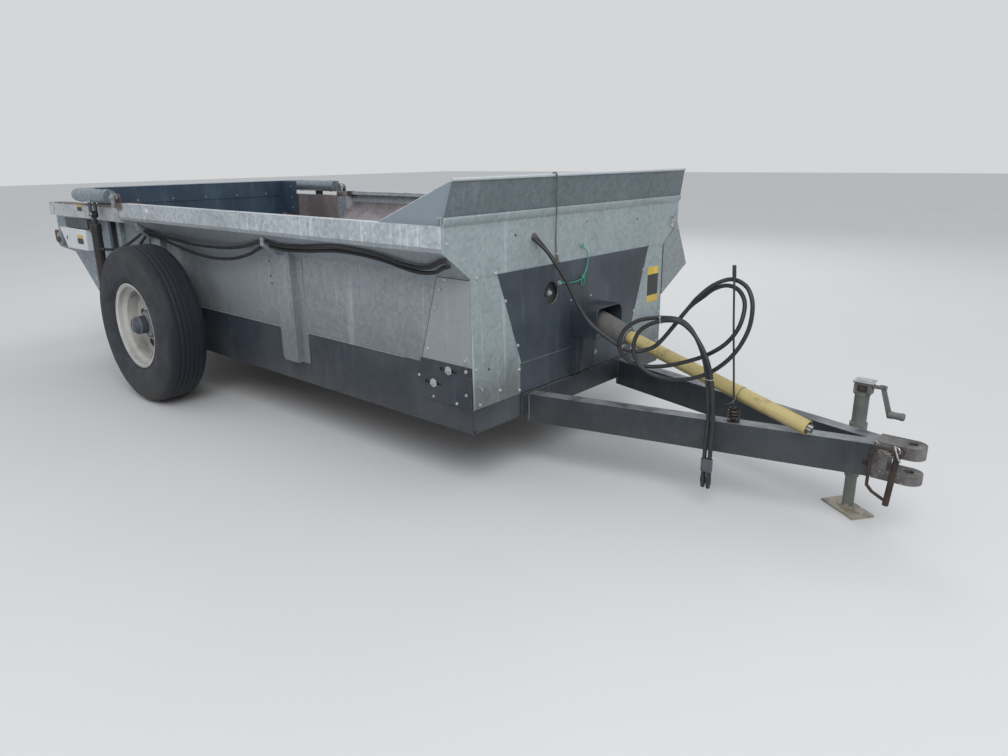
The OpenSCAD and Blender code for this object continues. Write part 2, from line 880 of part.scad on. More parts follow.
rod_foot = [3869, -176, tongue_low + tongue_h];
rod_tip = [3812, -170, 1162];
function on_rod(share) = rod_foot + (rod_tip - rod_foot) * share;

module hose_support() {
    color([0.3, 0.3, 0.31]) place() {
        // foot plate and coil spring, drawn as its turns
        translate(rod_foot) rotate_extrude() polygon(concat(
            [[0, 0], [30, 0], [30, 8], [23, 8]],
            [for (i = [0 : 4], at = [[23, 9], [28.5, 10.5], [31, 14], [28.5, 17.5]]) [at[0], at[1] + 10 * i]],
            [[23, 59], [23, 62], [9, 72], [0, 72]]
        ));
        bar(on_rod(0.06), on_rod(0.94), 5);
        bar(on_rod(0.925), rod_tip, 9);
    }
}

// Drive

// The shield hangs from the underside of the flare
shield_hem = [rail_y - 6, flare_z + (rail_y - 6 - side_y) * (rail_low - flare_z) / (rail_y - side_y)];

module drive_shield() {
    color([0.66, 0.68, 0.69]) place() {
        along_x(front_x - shield_l, shield_l - sheet) polygon([
            [side_y, shield_low], [shield_y, shield_mid], shield_hem, shield_hem - [7, 6],
            [shield_y - 8, shield_mid + 3], [side_y, shield_low + 6]
        ]);
        along_x(front_x - sheet, sheet) polygon([
            [side_y, shield_low], [shield_y, shield_mid], shield_hem, [side_y, flare_z]
        ]);
    }
}

module line_shaft() {
    color([0.35, 0.36, 0.38]) place() {
        rod_x(line_y, line_z, line_r, -line_end_back, front_x - 400);
        for (x = [-1300, 1800, front_x - 460])
            along_x(x, 40) polygon([
                [x < 0 ? plate_y : side_y, line_z - 68], [x < 0 ? plate_y : side_y, line_z - 22],
                [line_y - 17, line_z - 14], [line_y - 17, line_z + 12], [line_y + 16, line_z + 12],
                [line_y + 16, line_z - 24]
            ]);
    }
}

case_depth = 84;
case_wall = 3;

module case_outline(inset) {
    a = [-beater_back, beater_z];
    b = [-line_end_back, line_z];
    ra = case_big_r - inset;
    rb = case_small_r - inset;
    along = (b - a) / norm(b - a);
    across = [-along[1], along[0]];
    // the straight sides touch both circles
    lean = (ra - rb) / norm(b - a);
    n = along * lean + across * sqrt(1 - lean * lean);
    m = along * lean - across * sqrt(1 - lean * lean);
    union() {
        translate(a) circle(ra);
        translate(b) circle(rb);
        polygon([a + n * ra, b + n * rb, b + m * rb, a + m * ra]);
    }
}

module rear_chain_case() {
    color([0.16, 0.18, 0.22]) place() difference() {
        union() {
            along_y(plate_y, case_depth) difference() {
                case_outline(0);
                case_outline(case_wall);
            }
            along_y(plate_y + case_depth - case_wall, case_wall) case_outline(0);
        }
        rod_x(line_y, line_z, line_r + 1, -line_end_back, -line_end_back + 200);
    }
}

// Beater

module paddle() {
    along_y(-paddle_t / 2, paddle_t) polygon([
        [beater_tube_r - 10, -paddle_w / 2], [beater_r - 25, -paddle_w / 2 - 12],
        [beater_r, -paddle_w / 2 + 10], [beater_r, paddle_w / 2 - 10],
        [beater_r - 25, paddle_w / 2 + 12], [beater_tube_r - 10, paddle_w / 2]
    ]);
}

module beater() {
    half = side_in - 30;
    color([0.38, 0.24, 0.18]) place() {
        difference() {
            rod_y(-beater_back, beater_z, beater_tube_r, -half, half);
            rod_y(-beater_back, beater_z, beater_tube_r - 8, -half + 12, half - 12);
        }
        for (y = [[-plate_y - 50, -half + 12], [half - 12, plate_y + case_depth - 12]])
            rod_y(-beater_back, beater_z, beater_shaft_r, y[0], y[1]);
        for (i = [0 : stations - 1], side = [0, 180]) {
            y = -half + 30 + i * (2 * half - 60) / (stations - 1);
            translate([-beater_back, y, beater_z]) rotate([0, 180 + side + i * 40, 0]) paddle();
        }
    }
}

// Gate

module gate_frame() {
    r = gate_bend_r;
    color([0.6, 0.63, 0.66]) place() {
        translate([0, 0, gate_pipe_z]) {
            difference() {
                rod_y(-gate_pipe_back, 0, gate_pipe_r, -gate_arm_y + r, gate_arm_y - r);
                rod_y(-gate_pipe_back, 0, gate_pipe_r - gate_pipe_t, -gate_arm_y, gate_arm_y);
            }
            for (s = [0, 1]) mirror([0, s, 0]) {
                difference() {
                    rod_x(gate_arm_y, 0, gate_pipe_r, -gate_pipe_back + r, -gate_hinge_back - 100);
                    rod_x(gate_arm_y, 0, gate_pipe_r - gate_pipe_t, -gate_pipe_back, 0);
                }
                translate([-gate_pipe_back + r, gate_arm_y - r, 0]) rotate([0, 0, 90])
                    rotate_extrude(angle = 90) translate([r, 0]) difference() {
                        circle(gate_pipe_r);
                        circle(gate_pipe_r - gate_pipe_t);
                    }
            }
        }
        for (s = [0, 1]) mirror([0, s, 0]) {
            along_y(gate_arm_y - 8, 16) difference() {
                union() {
                    translate([-gate_hinge_back, gate_hinge_z]) circle(28);
                    translate([-gate_hinge_back - 150, gate_hinge_z - 18]) square([150, 50]);
                    translate([-gate_hinge_back - 150, gate_pipe_z - gate_pipe_r + 2])
                        square([100, 2 * gate_pipe_r - 4]);
                }
                translate([-gate_hinge_back, gate_hinge_z]) circle(gate_pin_r + 0.5);
            }
            for (y = [cyl_y - 24, cyl_y + 12])
                along_y(y, 8) difference() {
                    union() {
                        translate([-cyl_eye_back, cyl_eye_z]) circle(28);
                        translate([-cyl_eye_back - 28, cyl_eye_z])
                            square([56, gate_pipe_z - cyl_eye_z - 10]);
                    }
                    translate([-cyl_eye_back, cyl_eye_z]) circle(cyl_pin_r);
                }
        }
    }
}

module gate_panel() {
    half = side_in - gate_side_gap;
    x = -gate_pipe_back + gate_pipe_r;
    top = gate_pipe_z + 46;
    color([0.13, 0.17, 0.24]) place() {
        box([x, -half, slat_top + 10], [x + 5, half, top]);
        box([x + 5 - eps, -half, top - gate_band_h], [x + 10, half, top]);
        for (s = [0, 1]) mirror([0, s, 0])
            along_y(half - 5, 5) polygon([
                [x, top - 300], [x, top], [x + wing_l, top], [x + wing_l - 30, top - 300]
            ]);
    }
}

// Cylinders

cyl_run = [cyl_foot_back - cyl_eye_back, 0, cyl_eye_z - cyl_foot_z];
cyl_len = norm(cyl_run);

module on_cylinder() {
    translate([-cyl_foot_back, cyl_y, cyl_foot_z]) rotate([0, atan2(cyl_run[0], cyl_run[2]), 0]) children();
}

module cylinder_part() {
    on_cylinder() difference() {
        union() {
            translate([0, 0, 40]) cylinder(r = cyl_r, h = cyl_len - 150);
            translate([0, 0, cyl_len - 134]) cylinder(r = cyl_r + 5, h = 26);
            translate([0, 15, 0]) rotate([90, 0, 0]) cylinder(r = 26, h = 30);
            translate([-20, -14, 0]) cube([40, 28, 50]);
            for (z = [port_low_z - cyl_foot_z, port_top_z - cyl_foot_z])
                translate([cyl_r - 12, 0, z]) rotate([0, 90, 0]) cylinder(r = 13, h = 34);
        }
        translate([0, 30, 0]) rotate([90, 0, 0]) cylinder(r = cyl_pin_r + 0.5, h = 60);
        translate([0, 0, 60]) cylinder(r = cyl_rod_r + 0.5, h = cyl_len);
    }
}

module rod_part() {
    on_cylinder() difference() {
        union() {
            translate([0, 0, 80]) cylinder(r = cyl_rod_r, h = cyl_len - 80 - 36);
            translate([-18, -11, cyl_len - 40]) cube([36, 22, 40]);
            translate([0, 11, cyl_len]) rotate([90, 0, 0]) cylinder(r = 26, h = 22);
        }
        translate([0, 30, cyl_len]) rotate([90, 0, 0]) cylinder(r = cyl_pin_r + 0.5, h = 60);
    }
}

module cylinder_left() {
    color([0.2, 0.17, 0.17]) place() cylinder_part();
}

module cylinder_right() {
    color([0.2, 0.17, 0.17]) place() right_side() cylinder_part();
}

module rod_left() {
    color([0.75, 0.75, 0.76]) place() rod_part();
}

module rod_right() {
    color([0.75, 0.75, 0.76]) place() right_side() rod_part();
}

// Wheels, drawn on the left side with the outer face toward positive Y

module tyre() {
    w = tyre_w / 2;
    translate([0, tyre_y, tyre_r]) rotate([-90, 0, 0]) rotate_extrude($fn = 96) polygon([
        [rim_r - 14, -w + 50], [rim_r + 10, -w + 30], [rim_r + 70, -w + 4], [rim_r + 125, -w],
        [rim_r + 180, -w + 8], [tyre_r - 28, -w + 20], [tyre_r - 6, -w + 42], [tyre_r, -w + 64],
        [tyre_r, w - 64], [tyre_r - 6, w - 42], [tyre_r - 28, w - 20], [rim_r + 180, w - 8],
        [rim_r + 125, w], [rim_r + 70, w - 4], [rim_r + 10, w - 30], [rim_r - 14, w - 50]
    ]);
}

module wheel() {
    w = rim_w / 2;
    t = rim_t;
    d = disc_set;
    translate([0, tyre_y, tyre_r]) rotate([-90, 0, 0]) difference() {
        union() {
            rotate_extrude($fn = 96) polygon([
                [rim_r, -w], [rim_r - 14, -w + 8], [rim_r - 16, -w + 34], [rim_r - 44, -w + 54],
                [rim_r - 44, w - 54], [rim_r - 16, w - 34], [rim_r - 14, w - 8], [rim_r, w],
                [rim_r - t, w], [rim_r - 16 - t, w - 8], [rim_r - 18 - t, w - 36],
                [rim_r - 44 - t, w - 58], [rim_r - 44 - t, 30 - d], [hub_r + 40, -d], [hub_r - 2, -d],
                [hub_r - 2, -14 - d], [hub_r + 44, -14 - d], [rim_r - 44 - t, 10 - d],
                [rim_r - 44 - t, -w + 58], [rim_r - 18 - t, -w + 36], [rim_r - 16 - t, -w + 8],
                [rim_r - t, -w]
            ]);
            translate([0, 0, -d]) rotate_extrude() polygon([
                [0, -110], [hub_r, -110], [hub_r, 70], [62, 84], [62, 140], [46, 168], [0, 176]
            ]);
        }
        translate([0, 0, -120 - d]) cylinder(r = spindle_r + 0.5, h = 200);
    }
}

module tyre_left() {
    color([0.12, 0.12, 0.13]) place() tyre();
}

module tyre_right() {
    color([0.12, 0.12, 0.13]) place() right_side() tyre();
}

module wheel_left() {
    color([0.85, 0.82, 0.74]) place() wheel();
}

module wheel_right() {
    color([0.85, 0.82, 0.74]) place() right_side() wheel();
}

// Hoses

function unit(v) = v / norm(v);
function tangent(p, i) = unit(p[min(i + 1, len(p) - 1)] - p[max(i - 1, 0)]);
function side_of(t) = unit(cross(t, abs(t[2]) < 0.9 ? [0, 0, 1] : [1, 0, 0]));

module hose(route, r, sides) {
    n = len(route);
    rings = [
        for (i = [0 : n - 1], k = [0 : sides - 1])
            let (t = tangent(route, i), u = side_of(t), v = cross(t, u), a = 360 * k / sides)
            route[i] + r * (u * cos(a) + v * sin(a))
    ];
    caps = [[for (k = [0 : sides - 1]) k], [for (k = [sides - 1 : -1 : 0]) (n - 1) * sides + k]];
    walls = [
        for (i = [0 : n - 2], k = [0 : sides - 1])
            [i * sides + k, (i + 1) * sides + k, (i + 1) * sides + (k + 1) % sides,
                i * sides + (k + 1) % sides]
    ];
    polyhedron(points = rings, faces = concat(caps, walls));
}

// Hoses of the gate cylinders, clipped under the flare of the right side
upper_side_route = [
    [-978, -1055, port_top_z], [-925, -1040, 984], [-865, -992, 986], [-762, -962, 1022],
    [-620, -962, 1070], [-470, -975, 1115], [-314, -1003, 1156], [-200, -985, 1144], [-50, -967, 1124],
    [150, -960, 1108], [350, -960, 1099], [600, -960, 1100], [850, -962, 1113], [1100, -990, 1148],
    [1345, -1037, 1190], [1468, -1012, 1171], [1711, -1020, 1180], [2026, -1055, 1208],
    [2250, -1050, 1202], [2400, -1028, 1182], [2490, -1000, 1156], [2562, -980, 1142],
    [2630, -980, 1142], [2710, -998, 1157], [2790, -1028, 1184], [front_x - 6, -1045, 1199]
];
lower_side_route = [
    [-978, -1055, port_low_z], [-930, -1040, 645], [-860, -990, 700], [-780, -960, 800], [-680, -952, 920],
    [-560, -955, 1020], [-430, -965, 1090], [-314, -975, 1128], [-200, -962, 1114], [-50, -955, 1090],
    [150, -955, 1060], [350, -955, 1036], [600, -955, 1026], [850, -955, 1046], [1050, -962, 1090],
    [1200, -985, 1135], [1345, -1008, 1164], [1468, -985, 1146], [1711, -998, 1157], [2026, -1032, 1184],
    [2250, -1028, 1179], [2400, -1004, 1156], [2490, -978, 1130], [2562, -960, 1116],
    [2630, -960, 1116], [2710, -974, 1128], [2790, -1004, 1156], [front_x - 6, -1020, 1172]
];

// Clip that seats on the flare and on the post's face
module hose_clip(x) {
    gap = 0.4;
    reach = post_y + 120;
    slope = (rail_low - flare_z) / (rail_y - side_y);
    along_x(x - 16, 32) polygon([
        [post_y + gap, flare_z + (post_y - side_y) * slope - gap],
        [reach, flare_z + (reach - side_y) * slope - gap],
        [reach, flare_z + 72], [post_y + 40, flare_z + 12], [post_y + gap, flare_z + 12]
    ]);
}

module side_hoses() {
    color([0.1, 0.1, 0.11]) place() {
        hose(upper_side_route, hose_r, 8);
        hose(lower_side_route, hose_r, 8);
        right_side() for (x = [-post_back_x, post_front_x]) hose_clip(x);
    }
}

// Free hoses, from the hole in the front panel over the rod and down to their couplers
outer_route = [
    [2858, -431, 1249], [2949, -411, 1168], [3032, -381, 1039], [3103, -363, 909], [3174, -345, 822],
    [3311, -311, 734], [3377, -294, 715], [3429, -269, 723], [3495, -246, 767], [3612, -203, 939],
    [3662, -200, 1003], [3722, -175, 1062], [3792, -154, 1093], [3857, -153, 1076], [3898, -167, 1035],
    [3917, -180, 970], [3909, -190, 874], [3861, -204, 766], [3782, -222, 678], [3690, -245, 625],
    [3585, -272, 604], [3490, -296, 619], [3423, -312, 665], [3396, -319, 737], [3417, -314, 818],
    [3475, -299, 867], [3543, -282, 889], [3608, -272, 890], [3666, -277, 864], [3716, -285, 820],
    [3758, -288, 758], [3789, -286, 676], [3806, -284, 577], [3819, -288, 449], [3824, -303, 330],
    [3824, -303, coupler_top]
];
inner_route = [
    [2858, -409, 1249], [2931, -389, 1164], [3016, -359, 1034], [3087, -341, 904], [3159, -323, 816],
    [3297, -289, 728], [3364, -272, 708], [3416, -247, 717], [3483, -224, 760], [3601, -181, 934],
    [3673, -177, 1001], [3718, -154, 1042], [3774, -136, 1060], [3829, -130, 1039], [3867, -149, 981],
    [3865, -187, 887], [3818, -209, 806], [3736, -226, 741], [3638, -240, 694], [3537, -258, 659],
    [3439, -284, 648], [3367, -321, 674], [3331, -346, 742], [3348, -335, 819], [3398, -309, 869],
    [3461, -283, 890], [3531, -261, 898], [3591, -252, 897], [3640, -252, 878], [3686, -258, 834],
    [3726, -262, 768], [3756, -267, 688], [3775, -270, 586], [3790, -276, 449], [3796, -301, 330],
    [3796, -301, coupler_top]
];

module hose_outer() {
    color([0.1, 0.1, 0.11]) place() hose(outer_route, hose_r, 8);
}

module hose_inner() {
    color([0.1, 0.1, 0.11]) place() hose(inner_route, hose_r, 8);
}

module hose_couplers() {
    color([0.3, 0.3, 0.3]) place()
        for (route = [outer_route, inner_route])
            translate(route[len(route) - 1] - [0, 0, coupler_l]) {
                cylinder(r = coupler_r, h = coupler_l);
                translate([0, 0, 22]) cylinder(r = coupler_r + 0.8, h = 20);
            }
}

chassis();
axle();
floor();
apron_chain();
apron_front_shaft();
apron_rear_shaft();
side_panel_right();
side_panel_left();
top_rail_right();
top_rail_left();
rear_side_right();
rear_side_left();
front_panel();
splash_guard();
centre_cover();
corner_plate_right();
corner_plate_left();
front_bulkhead();
shaft_shroud();
gearbox();
pto_cone();
pto_shaft();
tongue();
hitch_clevis();
hitch_pin();
jack_body();
jack_leg();
hose_support();
drive_shield();
line_shaft();
rear_chain_case();
beater_guard();
beater();
gate_frame();
gate_panel();
cylinder_right();
cylinder_left();
rod_right();
rod_left();
tyre_right();
tyre_left();
wheel_right();
wheel_left();
side_hoses();
hose_outer();
hose_inner();
hose_couplers();
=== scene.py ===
# %% [markdown]
# This is a towed manure spreader: a galvanised load box on one axle, a floor of chains and slats, a gate that two
# cylinders lift, and one beater at the rear that throws the load out.
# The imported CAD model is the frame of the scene. Its shapes stay as they are. This file gives each of them a finish
# and adds the small things that a drawing leaves out. Lengths are in metres, x runs forward, y to the left, z up.

# %% load the frame
import math
import random

import bmesh
import bpy
from mathutils import Matrix, Vector


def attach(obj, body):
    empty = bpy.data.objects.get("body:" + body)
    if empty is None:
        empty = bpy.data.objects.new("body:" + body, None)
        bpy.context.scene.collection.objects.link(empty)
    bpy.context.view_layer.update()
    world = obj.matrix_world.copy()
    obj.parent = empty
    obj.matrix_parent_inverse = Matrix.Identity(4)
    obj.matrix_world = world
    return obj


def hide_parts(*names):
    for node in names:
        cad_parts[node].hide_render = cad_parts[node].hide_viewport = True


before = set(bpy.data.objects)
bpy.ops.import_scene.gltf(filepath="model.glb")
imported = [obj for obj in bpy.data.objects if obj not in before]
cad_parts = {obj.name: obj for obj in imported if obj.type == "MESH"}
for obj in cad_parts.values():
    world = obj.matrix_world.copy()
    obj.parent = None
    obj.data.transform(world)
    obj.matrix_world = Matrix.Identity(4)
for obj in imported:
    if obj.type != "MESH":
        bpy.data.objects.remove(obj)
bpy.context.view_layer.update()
AXLE_X, AXLE_Z = -0.9715, 0.548


def at(x, y, z):
    """A point measured from the axle, as the drawing has it, in the scene's frame."""
    return Vector((x + AXLE_X, y, z))


FRONT, LEFT = Vector((1, 0, 0)), Vector((0, 1, 0))
UP, DOWN = Vector((0, 0, 1)), Vector((0, 0, -1))

# %% [markdown]
# The camera comes first, because the loose hoses have to lie inside its view. Its place and turn were worked out
# from the photograph: the spreader's known corners were fitted until they fell on their pixels.

# %% camera
LENS_PIXELS = 729.7
PHOTO_WIDTH = 1008
SENSOR_WIDTH = 36
CAMERA_PLACE = at(5.2046, -3.323, 1.6448)
YAW, PITCH, ROLL = math.radians(131.46), math.radians(-16.93), math.radians(-0.785)


def look_matrix(place, yaw, pitch, roll):
    """A camera matrix from its place and the turn of its line of sight."""
    forward = Vector((math.cos(yaw) * math.cos(pitch), math.sin(yaw) * math.cos(pitch), math.sin(pitch)))
    flat = forward.cross(Vector((0, 0, 1))).normalized()
    lift = flat.cross(forward)
    right = flat * math.cos(roll) + lift * math.sin(roll)
    up = lift * math.cos(roll) - flat * math.sin(roll)
    turn = Matrix((right, up, -forward)).transposed().to_4x4()
    return Matrix.Translation(place) @ turn


camera_data = bpy.data.cameras.new("photo_camera")
camera_data.sensor_width = SENSOR_WIDTH
camera_data.lens = LENS_PIXELS / PHOTO_WIDTH * SENSOR_WIDTH
camera_data.clip_end = 200
camera = bpy.data.objects.new("photo_camera", camera_data)
bpy.context.scene.collection.objects.link(camera)
camera.matrix_world = look_matrix(CAMERA_PLACE, YAW, PITCH, ROLL)
bpy.context.scene.camera = camera
print("lens in millimetres:", round(camera_data.lens, 2))

# %% [markdown]
# Most pieces are built in mesh code. One bmesh gathers the vertices and faces of a piece, and a few shapes do
# nearly all the work: a turned profile, a tube along a line, a block with chamfered edges, and a bolt.

# %% smooth lines


def catmull(points, steps):
    """A smooth line through the points, with this many steps between two of them."""
    out = []
    ends = [points[0] * 2 - points[1], *points, points[-1] * 2 - points[-2]]
    for a, b, c, d in zip(ends, ends[1:], ends[2:], ends[3:]):
        for k in range(steps):
            t = k / steps
            out.append(0.5 * (2 * b + (c - a) * t + (2 * a - 5 * b + 4 * c - d) * t * t
                              + (3 * b - a - 3 * c + d) * t ** 3))
    return out + [points[-1].copy()]


def line_length(points):
    return sum((b - a).length for a, b in zip(points, points[1:]))


def directions(points):
    """The direction of a line at each of its points."""
    return [(b - a).normalized() for a, b in zip([points[0], *points], [*points[1:], points[-1]])]


# %% helpers that build meshes
DICE = random.Random(7)
BEAD_STEP = 0.006


def frame_along(direction):
    """Two unit vectors square to a direction."""
    aim = direction.normalized()
    helper = Vector((0, 0, 1)) if abs(aim.z) < 0.9 else Vector((0, 1, 0))
    side = aim.cross(helper).normalized()
    return side, aim.cross(side).normalized()


def close_ring(bm, ring, other):
    """Faces between two rings of vertices."""
    n = len(ring)
    for k in range(n):
        bm.faces.new([ring[k], ring[(k + 1) % n], other[(k + 1) % n], other[k]])


def skin(bm, rings, caps=True):
    """Faces along a row of rings and, if asked, over its two ends."""
    for a, b in zip(rings, rings[1:]):
        close_ring(bm, a, b)
    if caps:
        bm.faces.new(rings[0])
        bm.faces.new(rings[-1])


def circle(bm, centre, u, v, radius, sides, start=0.0):
    """A ring of vertices round a centre, in the plane of two unit vectors."""
    turns = (start + math.tau * k / sides for k in range(sides))
    return [bm.verts.new(centre + (u * math.cos(a) + v * math.sin(a)) * radius) for a in turns]


def turned(bm, centre, axis, profile, sides=32, caps=True):
    """A turned shape: the profile lists (radius, distance along the axis)."""
    aim = axis.normalized()
    u, v = frame_along(aim)
    skin(bm, [circle(bm, centre + aim * along, u, v, max(radius, 1e-5), sides) for radius, along in profile], caps)


def tube(bm, points, radius, sides=10, radii=None):
    """A tube along a line of points, with closed ends."""
    tangents = directions(points)
    u = frame_along(tangents[0])[0]
    rings = []
    for i, (point, aim) in enumerate(zip(points, tangents)):
        u = (u - aim * u.dot(aim)).normalized()
        rings.append(circle(bm, point, u, aim.cross(u), radii[i] if radii else radius, sides))
    skin(bm, rings)


def slab(bm, corners, thickness, direction):
    """A flat plate from its corners, with a thickness along a direction."""
    move = direction.normalized() * thickness
    low = [bm.verts.new(c) for c in corners]
    high = [bm.verts.new(c + move) for c in corners]
    close_ring(bm, low, high)
    bm.faces.new(low)
    bm.faces.new(high)


def chamfered(bm, centre, x, y, z, edge=0.002):
    """A block with chamfered edges, from its centre and its three half axes."""
    keep_x, keep_y, keep_z = (max(0.2, 1 - edge / half.length) for half in (x, y, z))
    corners = []
    for sx in (-1, 1):
        for sy in (-1, 1):
            for sz in (-1, 1):
                corners += [
                    bm.verts.new(centre + x * sx + y * sy * keep_y + z * sz * keep_z),
                    bm.verts.new(centre + x * sx * keep_x + y * sy + z * sz * keep_z),
                    bm.verts.new(centre + x * sx * keep_x + y * sy * keep_y + z * sz),
                ]
    bmesh.ops.convex_hull(bm, input=corners)


def bolt(bm, place, out, size=0.009, washer=True, thread=0.0):
    """A hexagon head on a washer, turned at random, with a thread end if asked."""
    out = out.normalized()
    u, v = frame_along(out)
    start = DICE.random() * math.tau
    base = place
    if washer:
        turned(bm, base - out * 0.0005, out, [(size * 1.55, 0), (size * 1.55, size * 0.3)], 16)
        base = base + out * size * 0.26
    head = ((size * 1.08, 0), (size * 1.08, size * 0.62), (size * 0.94, size * 0.78))
    skin(bm, [circle(bm, base + out * along, u, v, radius, 6, start) for radius, along in head])
    if thread:
        end = [(size * 0.56, 0), (size * 0.56, thread), (size * 0.4, thread + 0.001)]
        turned(bm, base + out * size * 0.6, out, end, 10)


def weld(bm, points, radius=0.005, seed=1):
    """A weld bead: a lumpy tube pressed into the corner that it fills."""
    dice = random.Random(seed)
    length = line_length(points)
    steps = max(6, int(length / BEAD_STEP))
    spots = []
    for a, b in zip(points, points[1:]):
        count = max(1, int(steps * (b - a).length / max(length, 1e-6)))
        spots += [a.lerp(b, k / count) for k in range(count)]
    spots.append(points[-1])
    tube(bm, spots, radius, 6, [radius * (0.75 + 0.35 * dice.random()) for _ in spots])


def piece(name, bm, body, finish=None, bevel=0.0, angle=35, replaces=()):
    """Turns a bmesh into a piece that rides on a body."""
    bmesh.ops.recalc_face_normals(bm, faces=bm.faces)
    mesh = bpy.data.meshes.new(name)
    bm.to_mesh(mesh)
    bm.free()
    mesh.shade_smooth()
    mesh.set_sharp_from_angle(angle=math.radians(angle))
    made = bpy.data.objects.new(name, mesh)
    bpy.context.scene.collection.objects.link(made)
    if finish:
        mesh.materials.append(finish)
    if bevel:
        edge = made.modifiers.new("rounded_edges", "BEVEL")
        edge.width = bevel
        edge.segments = 2
        edge.limit_method = "ANGLE"
        edge.angle_limit = math.radians(40)
    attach(made, body)
    if replaces:
        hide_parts(*replaces)
    return made


# %% [markdown]
# Two hydraulic hoses come out of a hole in the front panel, run over a springy rod on the tongue, make a lazy loop
# and hang straight down to their couplers. A hose is a round tube along one smooth line. The route's points are
# the ones in the drawing, and a Catmull-Rom curve joins them, because it goes through each of its points.

# %% routes of the loose hoses
HOSE_D = 0.020
OUTER_ROUTE = [
    (2.858, -.431, 1.249), (2.949, -.411, 1.168), (3.032, -.381, 1.039), (3.103, -.363, .909), (3.174, -.345, .822),
    (3.311, -.311, .734), (3.377, -.294, .715), (3.429, -.269, .723), (3.495, -.246, .767), (3.612, -.203, .939),
    (3.662, -.200, 1.003), (3.722, -.175, 1.062), (3.792, -.154, 1.093), (3.857, -.153, 1.076),
    (3.898, -.167, 1.035), (3.917, -.180, .970), (3.909, -.190, .874), (3.861, -.204, .766), (3.782, -.222, .678),
    (3.690, -.245, .625), (3.585, -.272, .604), (3.490, -.296, .619), (3.423, -.312, .665), (3.396, -.319, .737),
    (3.417, -.314, .818), (3.475, -.299, .867), (3.543, -.282, .889), (3.608, -.272, .890), (3.666, -.277, .864),
    (3.716, -.285, .820), (3.758, -.288, .758), (3.789, -.286, .676), (3.806, -.284, .577), (3.819, -.288, .449),
    (3.824, -.303, .330), (3.824, -.303, .222),
]
INNER_ROUTE = [
    (2.858, -.409, 1.249), (2.931, -.389, 1.164), (3.016, -.359, 1.034), (3.087, -.341, .904), (3.159, -.323, .816),
    (3.297, -.289, .728), (3.364, -.272, .708), (3.416, -.247, .717), (3.483, -.224, .760), (3.601, -.181, .934),
    (3.673, -.177, 1.001), (3.718, -.154, 1.042), (3.774, -.136, 1.060), (3.829, -.130, 1.039),
    (3.867, -.149, .981), (3.865, -.187, .887), (3.818, -.209, .806), (3.736, -.226, .741), (3.638, -.240, .694),
    (3.537, -.258, .659), (3.439, -.284, .648), (3.367, -.321, .674), (3.331, -.346, .742), (3.348, -.335, .819),
    (3.398, -.309, .869), (3.461, -.283, .890), (3.531, -.261, .898), (3.591, -.252, .897), (3.640, -.252, .878),
    (3.686, -.258, .834), (3.726, -.262, .768), (3.756, -.267, .688), (3.775, -.270, .586), (3.790, -.276, .449),
    (3.796, -.301, .330), (3.796, -.301, .222),
]


outer_line = catmull([at(*p) for p in OUTER_ROUTE], 6)
inner_line = catmull([at(*p) for p in INNER_ROUTE], 6)
print("hose lengths:", round(line_length(outer_line), 3), round(line_length(inner_line), 3))

# %% hoses as tubes


def hose(name, line, node):
    bm = bmesh.new()
    tube(bm, line, HOSE_D / 2, 16)
    return piece(name, bm, "frame_body", angle=60, replaces=(node,))


hose_outer = hose("hydraulic_hose_outer", outer_line, "hose_outer")
hose_inner = hose("hydraulic_hose_inner", inner_line, "hose_inner")
print("hose points:", len(outer_line), len(inner_line))

# %% [markdown]
# A finish is a node tree. Writing trees node by node hides what they mean, so a socket is wrapped in a small class
# that turns + - * and abs into Math nodes. Then a mask reads like the sum that it is. Colours never go through a Math
# node, because that would turn them grey: they go through Mix. One method adds every other node.

# %% sockets with arithmetic


class Tone:
    """One output socket of a node tree, for arithmetic on values that run over a surface."""

    def __init__(self, nodes, socket):
        self.nodes = nodes
        self.socket = socket

    def of(self, name):
        return Tone(self.nodes, self.socket.node.outputs[name])

    def sums(self, operation, *values):
        return self.nodes.node("Math", {"operation": operation}, dict(enumerate(values)))

    def __add__(self, other):
        return self.sums("ADD", self, other)

    def __radd__(self, other):
        return self.sums("ADD", other, self)

    def __sub__(self, other):
        return self.sums("SUBTRACT", self, other)

    def __rsub__(self, other):
        return self.sums("SUBTRACT", other, self)

    def __mul__(self, other):
        return self.sums("MULTIPLY", self, other)

    def __rmul__(self, other):
        return self.sums("MULTIPLY", other, self)

    def __abs__(self):
        return self.sums("ABSOLUTE", self)


class Nodes:
    """A node tree, with the one method that adds nodes to it."""

    def __init__(self, tree):
        self.tree = tree
        self.tree.nodes.clear()

    def node(self, kind, settings=None, sockets=None):
        """Adds a node of a type: its settings first, then values or links for its sockets."""
        made = self.tree.nodes.new("ShaderNode" + kind)
        for name, value in (settings or {}).items():
            if name == "stops":
                for stop, (place, colour) in zip(made.color_ramp.elements, value):
                    stop.position = place
                    stop.color = (*colour, 1)
            else:
                setattr(made, name, value)
        for key, value in (sockets or {}).items():
            if isinstance(value, Tone):
                self.tree.links.new(value.socket, made.inputs[key])
            else:
                made.inputs[key].default_value = value
        return Tone(self, made.outputs[0] if made.outputs else None)


